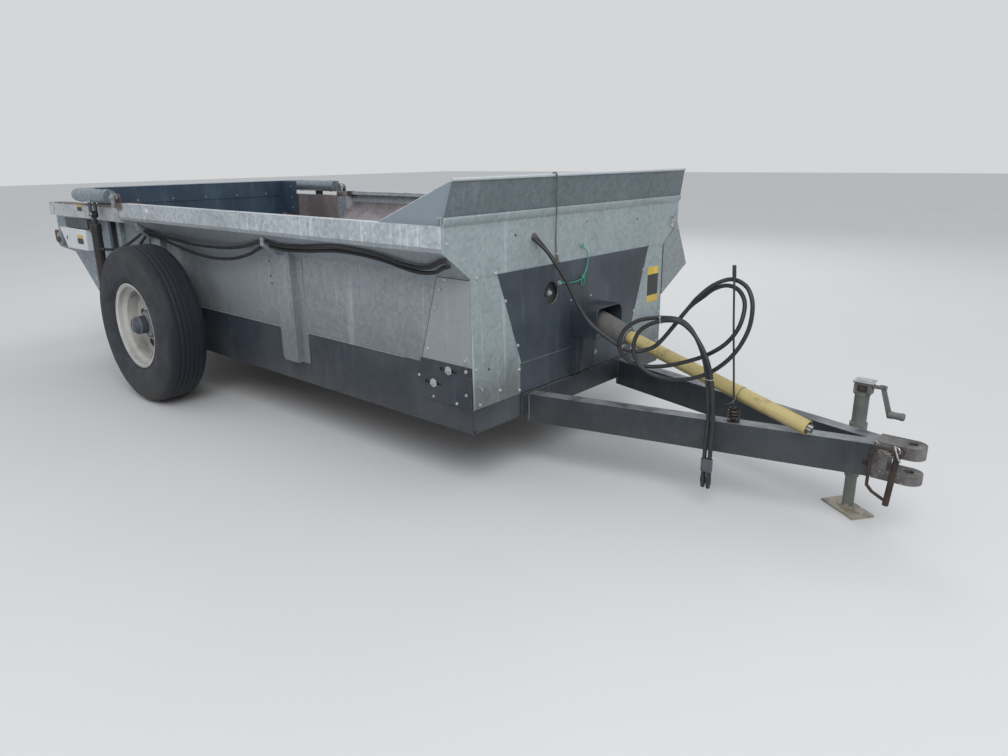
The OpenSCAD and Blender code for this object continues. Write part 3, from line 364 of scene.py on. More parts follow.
class Finish(Nodes):
    """A procedural material, made from its place in the frame."""

    def __init__(self, name):
        self.material = bpy.data.materials.new(name)
        self.material.use_nodes = True
        super().__init__(self.material.node_tree)
        self.coordinates = self.node("TexCoord")
        self.place = self.coordinates.of("Object")
        split = self.node("SeparateXYZ", {}, {0: self.place})
        self.x, self.y, self.z = split.of("X"), split.of("Y"), split.of("Z")
        facing = self.node("SeparateXYZ", {}, {0: self.coordinates.of("Normal")})
        self.facing_y, self.facing_z = facing.of("Y"), facing.of("Z")

    def stretched(self, sx, sy, sz):
        return self.node("VectorMath", {"operation": "MULTIPLY"}, {0: self.place, 1: (sx, sy, sz)})

    def noise(self, scale, detail=3, rough=0.55, stretch=None, twist=0.0):
        where = self.stretched(*stretch) if stretch else self.place
        return self.node("TexNoise", {}, {
            "Vector": where, "Scale": scale, "Detail": detail, "Roughness": rough, "Distortion": twist})

    def cells(self, scale, stretch=None):
        where = self.stretched(*stretch) if stretch else self.place
        return self.node("TexVoronoi", {"feature": "F1"}, {"Vector": where, "Scale": scale})

    def mask(self, value, low, high):
        """Runs from 0 at low to 1 at high, with soft ends."""
        return self.node("MapRange", {"interpolation_type": "SMOOTHSTEP"}, {
            "Value": value, "From Min": low, "From Max": high})

    def mix(self, first, second, share):
        """The first colour where the share is 0, and the second where it is 1."""
        ends = [colour if isinstance(colour, Tone) else (*colour, 1) for colour in (first, second)]
        made = self.node("Mix", {"data_type": "RGBA"}, {0: share, 6: ends[0], 7: ends[1]})
        return Tone(self, made.socket.node.outputs[2])

    def from_wheel_axis(self):
        """The distance from the axis that both wheels turn on."""
        along, above = self.x - AXLE_X, self.z - AXLE_Z
        return self.node("Math", {"operation": "SQRT"}, {0: along * along + above * above})

    def rounded(self, radius):
        """A normal that runs round the edges, as if they had this radius."""
        return self.node("Bevel", {"samples": BEVEL_SAMPLES}, {"Radius": radius})

    def worn_edges(self, radius=0.004, low=0.03, high=0.2):
        """1 along convex edges, where paint wears off first."""
        true = self.node("NewGeometry").of("True Normal")
        both = {0: self.rounded(radius), 1: true}
        agree = self.node("VectorMath", {"operation": "DOT_PRODUCT"}, both).of("Value")
        return self.mask(1 - agree, low, high)

    def done(self, colour, rough, metal=0.0, height=None, depth=0.001, rounding=0.0):
        """Joins colour, roughness, metal and bump to the shader."""
        sockets = {"Base Color": colour, "Roughness": rough, "Metallic": metal}
        if height is not None:
            relief = {"Height": height, "Strength": 1.0, "Distance": depth}
            if rounding:
                relief["Normal"] = self.rounded(rounding)
            sockets["Normal"] = self.node("Bump", {}, relief)
        self.node("OutputMaterial", {}, {0: self.node("BsdfPrincipled", {}, sockets)})
        return self.material


BEVEL_SAMPLES = 4
EDGE_ROUNDING = 0.002


def scaled(colour, factor):
    """A colour made lighter or darker."""
    return tuple(c * factor for c in colour)


# %% [markdown]
# Hot-dip galvanised sheet is never one grey. The zinc freezes in flat crystals, which show as a patchwork about two
# centimetres wide. Rain then draws pale streaks down it, dirt gathers low, and handling leaves blotches. The
# patchwork is a Voronoi texture's cell colour, the streaks are noise stretched along z, and the dirt is noise that
# fades with height.

# %% galvanised finishes


def galvanised(name, dark, light, streaks=0.5, blotches=0.3, grime=(0.45, 0.95, 0.5), inside=None, metal=0.3,
               rough=0.5, rust=0.0, rail=None, dark_below=None, rust_end=None,
               gusset=None, post=None, doubled=None):
    f = Finish(name)
    crystal = f.node("SeparateColor", {}, {0: f.cells(46).of("Color")})
    fine = f.node("SeparateColor", {}, {0: f.cells(130).of("Color")})
    cloud = f.noise(1.9, 5, 0.6)
    tone = crystal * 0.34 + fine * 0.16 + cloud * 0.7 - 0.1
    colour = f.mix(dark, light, tone)
    run = f.noise(1.0, 5, 0.62, stretch=(21, 21, 0.75))
    wash = f.mask(run, 0.52, 0.70) * f.mask(f.noise(0.8, 2), 0.40, 0.62) * streaks
    bright = tuple(min(1.0, c * 1.55 + 0.05) for c in light)
    colour = f.mix(colour, bright, wash)
    spot = f.mask(f.noise(9, 6, 0.7), 0.60, 0.72) * f.mask(f.noise(1.3, 2), 0.48, 0.66) * blotches
    colour = f.mix(colour, bright, spot)
    smear = f.mask(f.noise(1.0, 6, 0.7, stretch=(3.2, 3.2, 9.0), twist=0.6), 0.60, 0.78) * 0.45
    colour = f.mix(colour, scaled(dark, 0.42), smear)
    low, high, amount = grime
    soil = (1 - f.mask(f.z + f.noise(7, 5, 0.65) * 0.35 - 0.17, low, high)) * amount
    colour = f.mix(colour, (0.060, 0.055, 0.048), soil)
    if rail:
        outer = f.mask(abs(f.y), 0.984, 0.990) * f.mask(f.z, 1.190, 1.197)
        band = f.mix(rail, scaled(rail, 0.72), f.mask(f.noise(6, 6, 0.7), 0.42, 0.70))
        colour = f.mix(colour, band, outer)
        lip = f.mask(f.z + f.noise(13, 6, 0.7) * 0.05, 1.326, 1.334) * f.mask(f.noise(3.1, 3), 0.38, 0.50)
        colour = f.mix(colour, (0.110, 0.066, 0.045), lip)
    if rust:
        edge_rust = f.mask(f.noise(16, 7, 0.7), 0.62 - rust * 0.1, 0.70) * f.mask(f.noise(2.1, 2), 0.52, 0.66)
        colour = f.mix(colour, (0.13, 0.060, 0.030), edge_rust)
    if gusset:
        # Painted light: the gusset's sideways faces take a lighter colour than the rest of the guard.
        colour = f.mix(colour, f.mix(gusset, scaled(gusset, 0.80), cloud), f.mask(abs(f.facing_y), 0.6, 0.8))
        # Painted highlight: a thin bright line along the top edge, at z 1.541 to 1.545.
        colour = f.mix(colour, (0.480, 0.520, 0.545), f.mask(f.z, 1.541, 1.545))
    if doubled:
        doubler = f.mask(abs(f.y), 0.8916, 0.8920) * (1 - f.mask(abs(f.y), 0.8930, 0.8934)) * f.mask(f.x, 1.50, 1.52)
        colour = f.mix(colour, doubled, doubler * (0.5 + 0.5 * cloud))
    if post:
        face = f.mask(abs(f.y), 0.9281, 0.9285) * (1 - f.mask(abs(f.y), 0.9296, 0.9300)) * (1 - f.mask(f.z, 1.12, 1.13))
        colour = f.mix(colour, post, face * (0.55 + 0.3 * f.noise(5, 5, 0.7)))
    if rust_end:
        ragged = f.noise(14, 6, 0.7) * 0.10 - 0.05
        scab = (1 - f.mask(f.x + ragged, rust_end - 0.02, rust_end + 0.03)) * f.mask(f.z + ragged, 1.275, 1.320)
        colour = f.mix(colour, f.mix((0.080, 0.055, 0.044), (0.155, 0.112, 0.088), f.noise(40, 4)), scab)
    if inside:
        turned_in = f.mask(f.facing_y * f.y * -1, 0.15, 0.30) * f.mask(f.z, 0.66, 0.70)
        stain = f.mix(inside, scaled(inside, 0.55), f.mask(f.noise(3.0, 6, 0.7, twist=0.8), 0.42, 0.66))
        colour = f.mix(colour, stain, turned_in * 0.9)
    if dark_below:
        arm = 1 - f.mask(f.z + f.noise(40, 4) * 0.006, dark_below, dark_below + 0.004)
        grease = f.mix((0.026, 0.030, 0.038), (0.085, 0.060, 0.048), f.mask(f.noise(30, 6, 0.7), 0.50, 0.66))
        colour = f.mix(colour, grease, arm)
    roughness = rough - 0.14 * crystal + 0.22 * f.noise(5, 4) + 0.2 * soil
    dents = f.noise(1.6, 2) * 3.0 + crystal * 0.10 + f.noise(240, 3, 0.6) * 0.10
    return f.done(colour, roughness, metal, dents, 0.0022)


side_sheet = galvanised("galvanised_side", (0.190, 0.216, 0.236), (0.330, 0.365, 0.390), 0.50, 0.20,
                        (0.55, 0.98, 0.42), inside=(0.330, 0.288, 0.300), post=(0.105, 0.116, 0.122),
                        doubled=(0.305, 0.325, 0.338))
rail_sheet = galvanised("galvanised_rail", (0.235, 0.265, 0.292), (0.640, 0.695, 0.735), 0.85, 0.90,
                        (0.2, 0.4, 0.0), metal=0.35, rough=0.42, rust_end=AXLE_X - 0.475)
front_sheet = galvanised("galvanised_front", (0.225, 0.272, 0.286), (0.380, 0.440, 0.458), 0.60, 0.40,
                         (0.42, 0.80, 0.62), metal=0.25, rust=0.1)
# The gusset colour is the painted lighter tone of the guard's side faces.
guard_sheet = galvanised("galvanised_guard", (0.100, 0.128, 0.140), (0.185, 0.222, 0.240), 0.25, 0.20,
                         (0.2, 0.4, 0.0), gusset=(0.275, 0.335, 0.375))
rear_sheet = galvanised("galvanised_rear", (0.150, 0.180, 0.210), (0.360, 0.405, 0.445), 0.55, 0.40,
                        (0.35, 0.80, 0.4), inside=(0.270, 0.225, 0.228), rust=0.35, rail=(0.500, 0.525, 0.545))
shield_sheet = galvanised("galvanised_shield", (0.185, 0.218, 0.225), (0.325, 0.360, 0.368), 0.45, 0.35,
                          (0.2, 0.4, 0.0))
pipe_zinc = galvanised("galvanised_pipe", (0.120, 0.165, 0.200), (0.340, 0.390, 0.420), 0.0, 0.5,
                       (0.2, 0.4, 0.0), metal=0.45, rough=0.4, dark_below=1.341)
inner_sheet = galvanised("stained_inner_sheet", (0.120, 0.105, 0.105), (0.200, 0.178, 0.180), 0.15, 0.1,
                         (0.2, 0.4, 0.0), metal=0.1, rough=0.65)
bolt_zinc = galvanised("zinc_bolts", (0.24, 0.26, 0.27), (0.56, 0.58, 0.60), 0.0, 0.6, (0.1, 0.2, 0.0),
                       metal=0.45, rough=0.36, rust=0.5)
print("galvanised finishes made")

# %% [markdown]
# The chassis, tongue, covers and gate are painted in a dark blue-grey. Paint like this ages in three ways: dust
# dulls its upper faces, edges wear through to bright steel, and chips rust. Blender's Bevel node finds the edges
# by comparing a rounded normal with the true one.

# %% painted finishes


def painted(name, base, light, dust=(0.150, 0.140, 0.120), dusty=0.5, chips=0.35, edge=0.6, rough=0.48,
            low=None, bare=(0.34, 0.33, 0.31), splash_colour=(0.090, 0.075, 0.058),
            hub=None, painted_sky_sheen=None):
    f = Finish(name)
    colour = f.mix(base, light, f.mask(f.noise(2.6, 5, 0.6), 0.35, 0.70))
    if hub:
        hub_tone = f.mix(hub, scaled(hub, 1.7), f.noise(12, 5, 0.7))
        colour = f.mix(hub_tone, colour, f.mask(f.from_wheel_axis(), 0.0985, 0.1000))
    fade = f.mask(f.noise(1.0, 6, 0.68, stretch=(14, 14, 2.0)), 0.52, 0.74) * 0.35
    colour = f.mix(colour, tuple(c * 1.9 + 0.012 for c in light), fade)
    up = f.mask(f.facing_z, 0.35, 0.85)
    film = f.mask(f.noise(6.0, 7, 0.70), 0.40, 0.72) * (up * 0.75 + 0.25) * dusty
    colour = f.mix(colour, dust, film)
    # Painted highlight: upward faces lean towards a pale colour, a painted reflection of the sky, broken up by noise.
    if painted_sky_sheen:
        colour = f.mix(colour, painted_sky_sheen, f.mask(f.facing_z, 0.6, 0.9) * f.mask(f.noise(5, 6, 0.7), 0.30, 0.62) * 0.6)
    if low:
        splash = (1 - f.mask(f.z + f.noise(9, 5, 0.7) * 0.3 - 0.15, low[0], low[1])) * low[2]
        colour = f.mix(colour, splash_colour, splash)
    chip = f.mask(f.noise(38, 6, 0.7), 0.665, 0.70) * f.mask(f.noise(3.2, 3), 0.46, 0.62) * chips
    rim = f.worn_edges() * f.mask(f.noise(17, 5, 0.7), 0.40, 0.60) * edge
    scar = f.mix((0.105, 0.052, 0.028), bare, f.mask(f.noise(55, 3), 0.44, 0.60))
    colour = f.mix(colour, scar, chip + rim)
    roughness = rough + 0.25 * film - 0.10 * rim + 0.12 * (f.noise(20, 4) - 0.5)
    metal = (chip + rim) * 0.35
    height = f.noise(90, 4, 0.6) * 0.25 - chip * 0.35 - rim * 0.15 + f.noise(3, 2) * 0.9
    return f.done(colour, roughness, metal, height, 0.0012, EDGE_ROUNDING)


dark_paint = painted("dark_blue_grey_paint", (0.017, 0.025, 0.037), (0.037, 0.047, 0.061), dusty=0.4,
                     low=(0.25, 0.50, 0.25))
# The tongue's top faces take a pale painted sky reflection.
tongue_paint = painted("tongue_paint", (0.016, 0.022, 0.030), (0.032, 0.040, 0.050), dusty=0.30, chips=0.8,
                       edge=0.85, low=(0.22, 0.45, 0.20), painted_sky_sheen=(0.300, 0.320, 0.345))
cover_paint = painted("cover_paint", (0.027, 0.038, 0.052), (0.054, 0.070, 0.088), dusty=0.28, chips=0.3, edge=0.4)
gate_paint = painted("gate_paint", (0.024, 0.048, 0.080), (0.044, 0.076, 0.116), dust=(0.10, 0.12, 0.14),
                     dusty=0.35, chips=0.2, edge=0.5)
strip_paint = painted("weathered_strip", (0.030, 0.037, 0.046), (0.068, 0.082, 0.094), dusty=0.5, chips=0.7, edge=0.7)
white_paint = painted("white_paint", (0.600, 0.635, 0.655), (0.720, 0.755, 0.775), dust=(0.28, 0.27, 0.24),
                      dusty=0.35, chips=0.35, edge=0.3, bare=(0.20, 0.13, 0.09))
rim_paint = painted("cream_rim_paint", (0.330, 0.325, 0.315), (0.500, 0.492, 0.470), dust=(0.085, 0.085, 0.085),
                    dusty=0.45, chips=0.6, edge=0.45, rough=0.5, low=(0.30, 0.55, 0.10), bare=(0.18, 0.12, 0.09))
wheel_paint = painted("cream_wheel_paint", (0.330, 0.325, 0.315), (0.500, 0.492, 0.470), dust=(0.085, 0.085, 0.085),
                      dusty=0.5, chips=0.6, edge=0.45, rough=0.55, low=(0.30, 0.55, 0.10), bare=(0.18, 0.12, 0.09),
                      hub=(0.036, 0.046, 0.060))
hub_paint = painted("grey_hub_paint", (0.110, 0.115, 0.122), (0.190, 0.196, 0.202), dust=(0.120, 0.105, 0.085),
                    dusty=0.9, chips=0.5, edge=0.5)
jack_paint = painted("worn_jack_paint", (0.068, 0.074, 0.070), (0.150, 0.158, 0.148), dust=(0.17, 0.155, 0.125),
                     dusty=0.8, chips=0.95, edge=0.9)
cylinder_paint = painted("cylinder_paint", (0.013, 0.014, 0.017), (0.028, 0.028, 0.031), dusty=0.2, chips=0.6,
                         edge=0.4, low=(0.75, 1.05, 0.80), splash_colour=(0.036, 0.020, 0.017))
leg_paint = painted("worn_leg_and_foot", (0.092, 0.100, 0.090), (0.175, 0.180, 0.162), dust=(0.20, 0.185, 0.150),
                    dusty=0.8, chips=1.0, edge=0.9, low=(0.015, 0.035, 0.85), splash_colour=(0.330, 0.290, 0.225),
                    bare=(0.150, 0.090, 0.055))
yellow_label = painted("blank_yellow_plate", (0.560, 0.400, 0.045), (0.660, 0.490, 0.075), dust=(0.25, 0.22, 0.16),
                       dusty=0.8, chips=0.2, edge=0.2, rough=0.42)
black_label = painted("blank_black_plate", (0.018, 0.018, 0.020), (0.035, 0.035, 0.038), dusty=0.7, chips=0.2, edge=0.2)
pale_label = painted("blank_pale_plate", (0.480, 0.480, 0.460), (0.600, 0.600, 0.580), dust=(0.25, 0.23, 0.19),
                     dusty=0.8, chips=0.3, edge=0.2)
print("painted finishes made")

# %% [markdown]
# The beater, the chains and the hitch are bare steel that lives in dung and rain. The finish starts from rust and
# lets polished steel through where parts rub, which is again the edges.

# %% rust, steel, chrome


def rusty(name, deep, warm, polish=0.5, spots=0.4, rough=0.82):
    f = Finish(name)
    colour = f.mix(deep, warm, f.mask(f.noise(7, 7, 0.72), 0.34, 0.70))
    colour = f.mix(colour, (0.030, 0.022, 0.018), f.mask(f.noise(21, 5, 0.7), 0.56, 0.74) * 0.7)
    flake = f.mask(f.noise(60, 5, 0.7), 0.60, 0.68) * spots
    colour = f.mix(colour, scaled(warm, 2.3), flake)
    rub = f.worn_edges(0.005, 0.02, 0.16) * f.mask(f.noise(24, 4, 0.7), 0.36, 0.58) * polish
    colour = f.mix(colour, (0.380, 0.365, 0.340), rub)
    height = f.noise(130, 5, 0.7) * 0.6 + f.noise(22, 4, 0.7) * 0.8
    roughness = rough - 0.35 * rub + 0.1 * (f.noise(30, 3) - 0.5)
    return f.done(colour, roughness, 0.15 + rub * 0.7, height, 0.0014, EDGE_ROUNDING)


def steel(name, colour_low, colour_high, rough=0.35, metal=0.85, rust=0.3, dust=0.3, dark_above=None):
    f = Finish(name)
    colour = f.mix(colour_low, colour_high, f.noise(12, 4))
    line = f.noise(1.0, 4, 0.6, stretch=(4, 4, 90))
    colour = f.mix(colour, scaled(colour_low, 0.6), f.mask(line, 0.52, 0.70) * 0.5)
    rot = f.mask(f.noise(26, 6, 0.7), 0.60, 0.68) * rust
    colour = f.mix(colour, (0.120, 0.060, 0.032), rot)
    if dark_above:
        eye = f.mask(f.z, dark_above - 0.004, dark_above + 0.004)
        colour = f.mix(colour, (0.030, 0.032, 0.038), eye)
        metal = metal * (1 - eye)
    film = f.mask(f.noise(5, 6, 0.7), 0.45, 0.75) * dust
    colour = f.mix(colour, (0.150, 0.135, 0.110), film)
    return f.done(colour, rough + 0.3 * (rot + film), metal - 0.7 * rot - 0.4 * film, line + rot, 0.0006)


rust_steel = rusty("rusty_steel", (0.085, 0.048, 0.032), (0.175, 0.098, 0.060))
hitch_steel = rusty("hitch_steel", (0.060, 0.052, 0.047), (0.185, 0.180, 0.178), polish=1.0, spots=0.7, rough=0.6)
pin_steel = rusty("rusty_pin", (0.030, 0.022, 0.018), (0.065, 0.042, 0.032), polish=0.25)
chain_steel = rusty("chain_steel", (0.060, 0.040, 0.030), (0.125, 0.080, 0.055), polish=0.6)
shaft_steel = steel("shaft_steel", (0.120, 0.120, 0.125), (0.250, 0.250, 0.255))
spring_steel = steel("spring_steel", (0.045, 0.042, 0.040), (0.110, 0.100, 0.092), rust=0.6)
hook_wire = steel("grey_hook_wire", (0.130, 0.132, 0.134), (0.240, 0.240, 0.238), 0.4, 0.6, 0.2, 0.2)
rod_chrome = steel("rod_chrome", (0.420, 0.420, 0.430), (0.560, 0.560, 0.570), 0.16, 1.0, 0.2, 0.35, dark_above=1.12)
bright_zinc = steel("bright_zinc", (0.420, 0.425, 0.430), (0.600, 0.605, 0.610), 0.28, 0.9, 0.25, 0.25)
coupler_steel = steel("coupler_steel", (0.030, 0.031, 0.034), (0.078, 0.078, 0.080), 0.42, 0.6, 0.15, 0.35)
print("steel finishes made")

# %% [markdown]
# Rubber and plastic come next. A tyre is black only when new: dust greys its walls and packs into the grooves, and
# the road polishes the tops of the ribs. Hoses carry the same dust in soft bands.

# %% rubber and plastic


def rubber(name, base, dust, dusty=0.6, low=0.36, high=0.68, rough=0.72):
    f = Finish(name)
    film = f.mask(f.noise(5.5, 7, 0.7), low, high) * dusty
    colour = f.mix(base, scaled(base, 1.8), f.noise(30, 4))
    colour = f.mix(colour, dust, film)
    colour = f.mix(colour, scaled(dust, 1.35), f.mask(f.noise(75, 4, 0.7), 0.62, 0.70) * dusty * 0.6)
    height = f.noise(200, 4, 0.65) * 0.5 + f.noise(14, 3) * 0.6
    return f.done(colour, rough + 0.15 * film, 0.0, height, 0.0008)


def tyre_rubber(name):
    f = Finish(name)
    around = f.from_wheel_axis()
    tread = f.mask(around, 0.520, 0.546)
    wall = 1 - f.mask(around, 0.500, 0.535)
    base = f.mix((0.008, 0.010, 0.013), (0.024, 0.029, 0.036), f.noise(18, 5, 0.7))
    film = f.mask(f.noise(6, 7, 0.72), 0.34, 0.66)
    colour = f.mix(base, (0.062, 0.068, 0.078), film * (wall * 0.60 + 0.06))
    mud = f.mask(f.noise(26, 6, 0.75), 0.60, 0.70) * (1 - tread) * 0.30
    colour = f.mix(colour, (0.100, 0.098, 0.092), mud)
    brown = f.mask(around, 0.440, 0.500) * (1 - tread) * f.mask(f.noise(4, 4), 0.35, 0.60) * 0.45
    colour = f.mix(colour, (0.052, 0.044, 0.043), brown)
    colour = f.mix(colour, (0.006, 0.011, 0.019), tread * 0.85)
    splash = (1 - f.mask(f.z + f.noise(8, 5, 0.7) * 0.25, 0.12, 0.42)) * 0.30
    colour = f.mix(colour, (0.090, 0.084, 0.074), splash)
    height = f.noise(160, 4, 0.7) * 0.6 + f.noise(20, 4) * 0.5 + mud
    return f.done(colour, 0.74 + 0.14 * film - 0.12 * tread, 0.0, height, 0.0014)


tyre_finish = tyre_rubber("tyre_rubber")
hose_finish = rubber("hose_rubber", (0.006, 0.007, 0.009), (0.050, 0.052, 0.056), 0.45, rough=0.42)
side_hose_finish = rubber("side_hose_rubber", (0.008, 0.009, 0.011), (0.045, 0.046, 0.048), 0.35, 0.46, 0.74)
black_plastic = rubber("black_plastic", (0.014, 0.014, 0.016), (0.070, 0.066, 0.058), 0.4, rough=0.45)
cone_plastic = rubber("grey_cone_plastic", (0.072, 0.071, 0.069), (0.140, 0.135, 0.126), 0.7, rough=0.55)
grip_plastic = rubber("grey_grip_plastic", (0.060, 0.064, 0.066), (0.170, 0.160, 0.140), 0.6, rough=0.5)
tape_film = rubber("old_tape", (0.040, 0.046, 0.054), (0.110, 0.122, 0.134), 0.8, rough=0.35)
tie_plastic = rubber("pale_tie_plastic", (0.300, 0.290, 0.260), (0.420, 0.400, 0.350), 0.5, rough=0.4)
rope_fibre = rubber("weathered_rope", (0.080, 0.076, 0.068), (0.150, 0.144, 0.130), 0.6, rough=0.9)
green_fibre = rubber("green_twine", (0.028, 0.225, 0.150), (0.120, 0.280, 0.210), 0.4, rough=0.7)
for made in (hose_outer, hose_inner):
    made.data.materials.append(hose_finish)


PTO_START, PTO_END = at(2.870, .018, .784), at(4.205, -.152, .467)
PTO_AIM = (PTO_END - PTO_START).normalized()
PTO_LENGTH = (PTO_END - PTO_START).length


def yellow_tube_finish(name):
    """Sun-bleached yellow plastic with faint scratches along the tube, and painted shade on its downward faces."""
    f = Finish(name)
    side, other = frame_along(PTO_AIM)
    parts = [f.node("VectorMath", {"operation": "DOT_PRODUCT"}, {0: f.place, 1: tuple(axis * scale)}).of("Value")
             for axis, scale in ((PTO_AIM, 3.0), (side, 70.0), (other, 70.0))]
    turned_place = f.node("CombineXYZ", {}, dict(enumerate(parts)))
    grain = f.node("TexNoise", {}, {"Vector": turned_place, "Scale": 1.0, "Detail": 4, "Roughness": 0.6})
    colour = f.mix((0.385, 0.312, 0.122), (0.450, 0.372, 0.168), f.mask(grain, 0.30, 0.72))
    colour = f.mix(colour, (0.135, 0.112, 0.080), f.mask(f.noise(9, 7, 0.72), 0.50, 0.72) * 0.75)
    colour = f.mix(colour, (0.500, 0.470, 0.370), f.mask(f.noise(34, 5, 0.7), 0.63, 0.70) * 0.6)
    # Painted shade: faces that turn downwards are darkened.
    painted_shade_under = (1 - f.mask(f.facing_z, -0.7, 0.1)) * 0.5
    colour = f.mix(colour, (0.085, 0.070, 0.052), painted_shade_under)
    return f.done(colour, 0.55 + 0.15 * grain, 0.0, grain + f.noise(120, 3) * 0.4, 0.0007, 0.0015)


def plank_finish(name):
    """Oiled hardwood planks, soaked and dark, with grain along x."""
    f = Finish(name)
    grain = f.noise(1.0, 7, 0.72, stretch=(2.2, 70, 70), twist=0.4)
    board = f.node("SeparateColor", {}, {0: f.cells(5.66, stretch=(0.02, 1, 0.02)).of("Color")})
    colour = f.mix((0.055, 0.040, 0.028), (0.150, 0.112, 0.078), f.mask(grain, 0.35, 0.68))
    colour = f.mix(colour, (0.080, 0.066, 0.052), board * 0.4)
    colour = f.mix(colour, (0.045, 0.036, 0.028), f.mask(f.noise(3, 6, 0.7), 0.46, 0.70) * 0.7)
    return f.done(colour, 0.78, 0.0, grain * 1.4 + f.noise(60, 4) * 0.3, 0.0016)


yellow_finish = yellow_tube_finish("faded_yellow_tube")
planks_finish = plank_finish("floor_planks")
print("rubber, plastic and wood finishes made")

# %% [markdown]
# Each CAD node now takes its finish. A node keeps its own mesh: only the material in its slot changes.

# %% finishes of the CAD nodes
NODE_FINISH = {
    "chassis": dark_paint, "axle": dark_paint, "floor": planks_finish, "apron_chain": chain_steel,
    "apron_front_shaft": shaft_steel, "apron_rear_shaft": shaft_steel,
    "side_panel_right": side_sheet, "side_panel_left": side_sheet,
    "top_rail_right": rail_sheet, "top_rail_left": rail_sheet,
    "rear_side_right": rear_sheet, "rear_side_left": rear_sheet,
    "front_panel": front_sheet, "splash_guard": guard_sheet, "centre_cover": cover_paint,
    "corner_plate_right": dark_paint, "corner_plate_left": dark_paint, "front_bulkhead": inner_sheet,
    "shaft_shroud": dark_paint, "gearbox": hub_paint, "pto_cone": cone_plastic, "pto_shaft": yellow_finish,
    "tongue": tongue_paint, "hitch_clevis": hitch_steel, "hitch_pin": pin_steel,
    "jack_body": jack_paint, "jack_leg": leg_paint, "hose_support": spring_steel,
    "drive_shield": shield_sheet, "line_shaft": shaft_steel, "rear_chain_case": dark_paint,
    "beater_guard": white_paint, "beater": rust_steel, "gate_frame": pipe_zinc, "gate_panel": gate_paint,
    "cylinder_right": cylinder_paint, "cylinder_left": cylinder_paint,
    "rod_right": rod_chrome, "rod_left": rod_chrome, "tyre_right": tyre_finish, "tyre_left": tyre_finish,
    "wheel_right": wheel_paint, "wheel_left": wheel_paint, "side_hoses": side_hose_finish,
    "hose_outer": hose_finish, "hose_inner": hose_finish, "hose_couplers": coupler_steel,
}
for node_name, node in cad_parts.items():
    for place in node.material_slots:
        place.material = NODE_FINISH[node_name]
print("nodes with a finish:", len(NODE_FINISH))

# %% [markdown]
# The stage is a plain pale floor under an even sky, as in a studio. A soft lamp at the front right gives the shadow
# its direction, and a weaker one at the left lightens the far side. The camera, mirrors and clear pieces see a plain
# backdrop in place of the sky that gives the light. Floor and backdrop have nearly one tone, so the horizon is quiet.

# %% floor, lamps and sky


def stage_floor():
    bm = bmesh.new()
    bmesh.ops.create_grid(bm, x_segments=24, y_segments=24, size=60)
    mesh = bpy.data.meshes.new("studio_floor")
    bm.to_mesh(mesh)
    bm.free()
    made = bpy.data.objects.new("studio_floor", mesh)
    bpy.context.scene.collection.objects.link(made)
    f = Finish("studio_floor")
    tone = f.mix((0.56, 0.565, 0.57), (0.61, 0.61, 0.61), f.noise(0.4, 3))
    mesh.materials.append(f.done(tone, 0.9, 0.0))


def soft_lamp(name, place, aim, size, power, colour=(1, 1, 1)):
    data = bpy.data.lights.new(name, "AREA")
    data.shape = "DISK"
    data.size = size
    data.energy = power
    data.color = colour
    lamp = bpy.data.objects.new(name, data)
    lamp.location = place
    lamp.rotation_euler = (place - aim).to_track_quat("Z", "Y").to_euler()
    bpy.context.scene.collection.objects.link(lamp)


stage_floor()
middle = Vector((0, 0, 0.8))
soft_lamp("front_soft_box", Vector((6.5, -5.5, 7.5)), middle, 7, 520)
soft_lamp("left_soft_box", Vector((-3, 7.5, 7.0)), middle, 7, 260, (0.96, 0.98, 1.0))

world = bpy.data.worlds.new("pale_sky")
bpy.context.scene.world = world
world.use_nodes = True
sky = Nodes(world.node_tree)
height = sky.node("SeparateXYZ", {}, {0: sky.node("TexCoord").of("Generated")}).of("Z")
glow = sky.node("ValToRGB", {"stops": [(0.42, (0.50, 0.51, 0.53)), (1.0, (0.93, 0.96, 1.0))]}, {0: height * 0.5 + 0.5})
lit = sky.node("Background", {}, {"Color": glow, "Strength": 0.95})
shown = sky.node("Background", {}, {"Color": (0.66, 0.67, 0.68, 1)})
rays = sky.node("LightPath")
seen = rays.sums("MAXIMUM", rays.of("Is Camera Ray"), rays.of("Is Glossy Ray"))
seen = rays.sums("MAXIMUM", seen, rays.of("Is Transmission Ray"))
sky.node("OutputWorld", {}, {0: sky.node("MixShader", {}, {0: seen, 1: lit, 2: shown})})
bpy.context.scene.view_settings.view_transform = "Standard"
print("stage ready")

# %% [markdown]
# The free ends of the hoses carry quick couplers. Each is turned steel: a ferrule pressed on the rubber, a hexagon
# for the spanner, a knurled sleeve and a nose. A wrap of old tape holds the two ends together above them.

# %% couplers and tape
OUTER_END, INNER_END = at(3.824, -.303, .222), at(3.796, -.301, .222)


def coupler(name, top):
    bm = bmesh.new()
    turned(bm, top, DOWN, [(.0112, 0), (.0122, .002), (.0122, .012), (.0115, .014), (.0122, .016), (.0122, .026),
                           (.0105, .028)], 24)
    turned(bm, top + DOWN * .028, DOWN, [(.0128, 0), (.0128, .020), (.0118, .022)], 6)
    turned(bm, top + DOWN * .049, DOWN, [(.0108, 0), (.0108, .006)], 24)
    knurl = [(.0128, .006)]
    for k in range(7):
        knurl += [(.0134, .009 + .004 * k), (.0128, .011 + .004 * k)]
    turned(bm, top + DOWN * .049, DOWN, knurl + [(.0128, .038), (.0112, .041)], 24)
    turned(bm, top + DOWN * .089, DOWN, [(.0105, 0), (.0105, .012), (.0088, .016), (.0088, .0185), (.004, .019)], 24)
    return piece(name, bm, "frame_body", coupler_steel, replaces=("hose_couplers",))


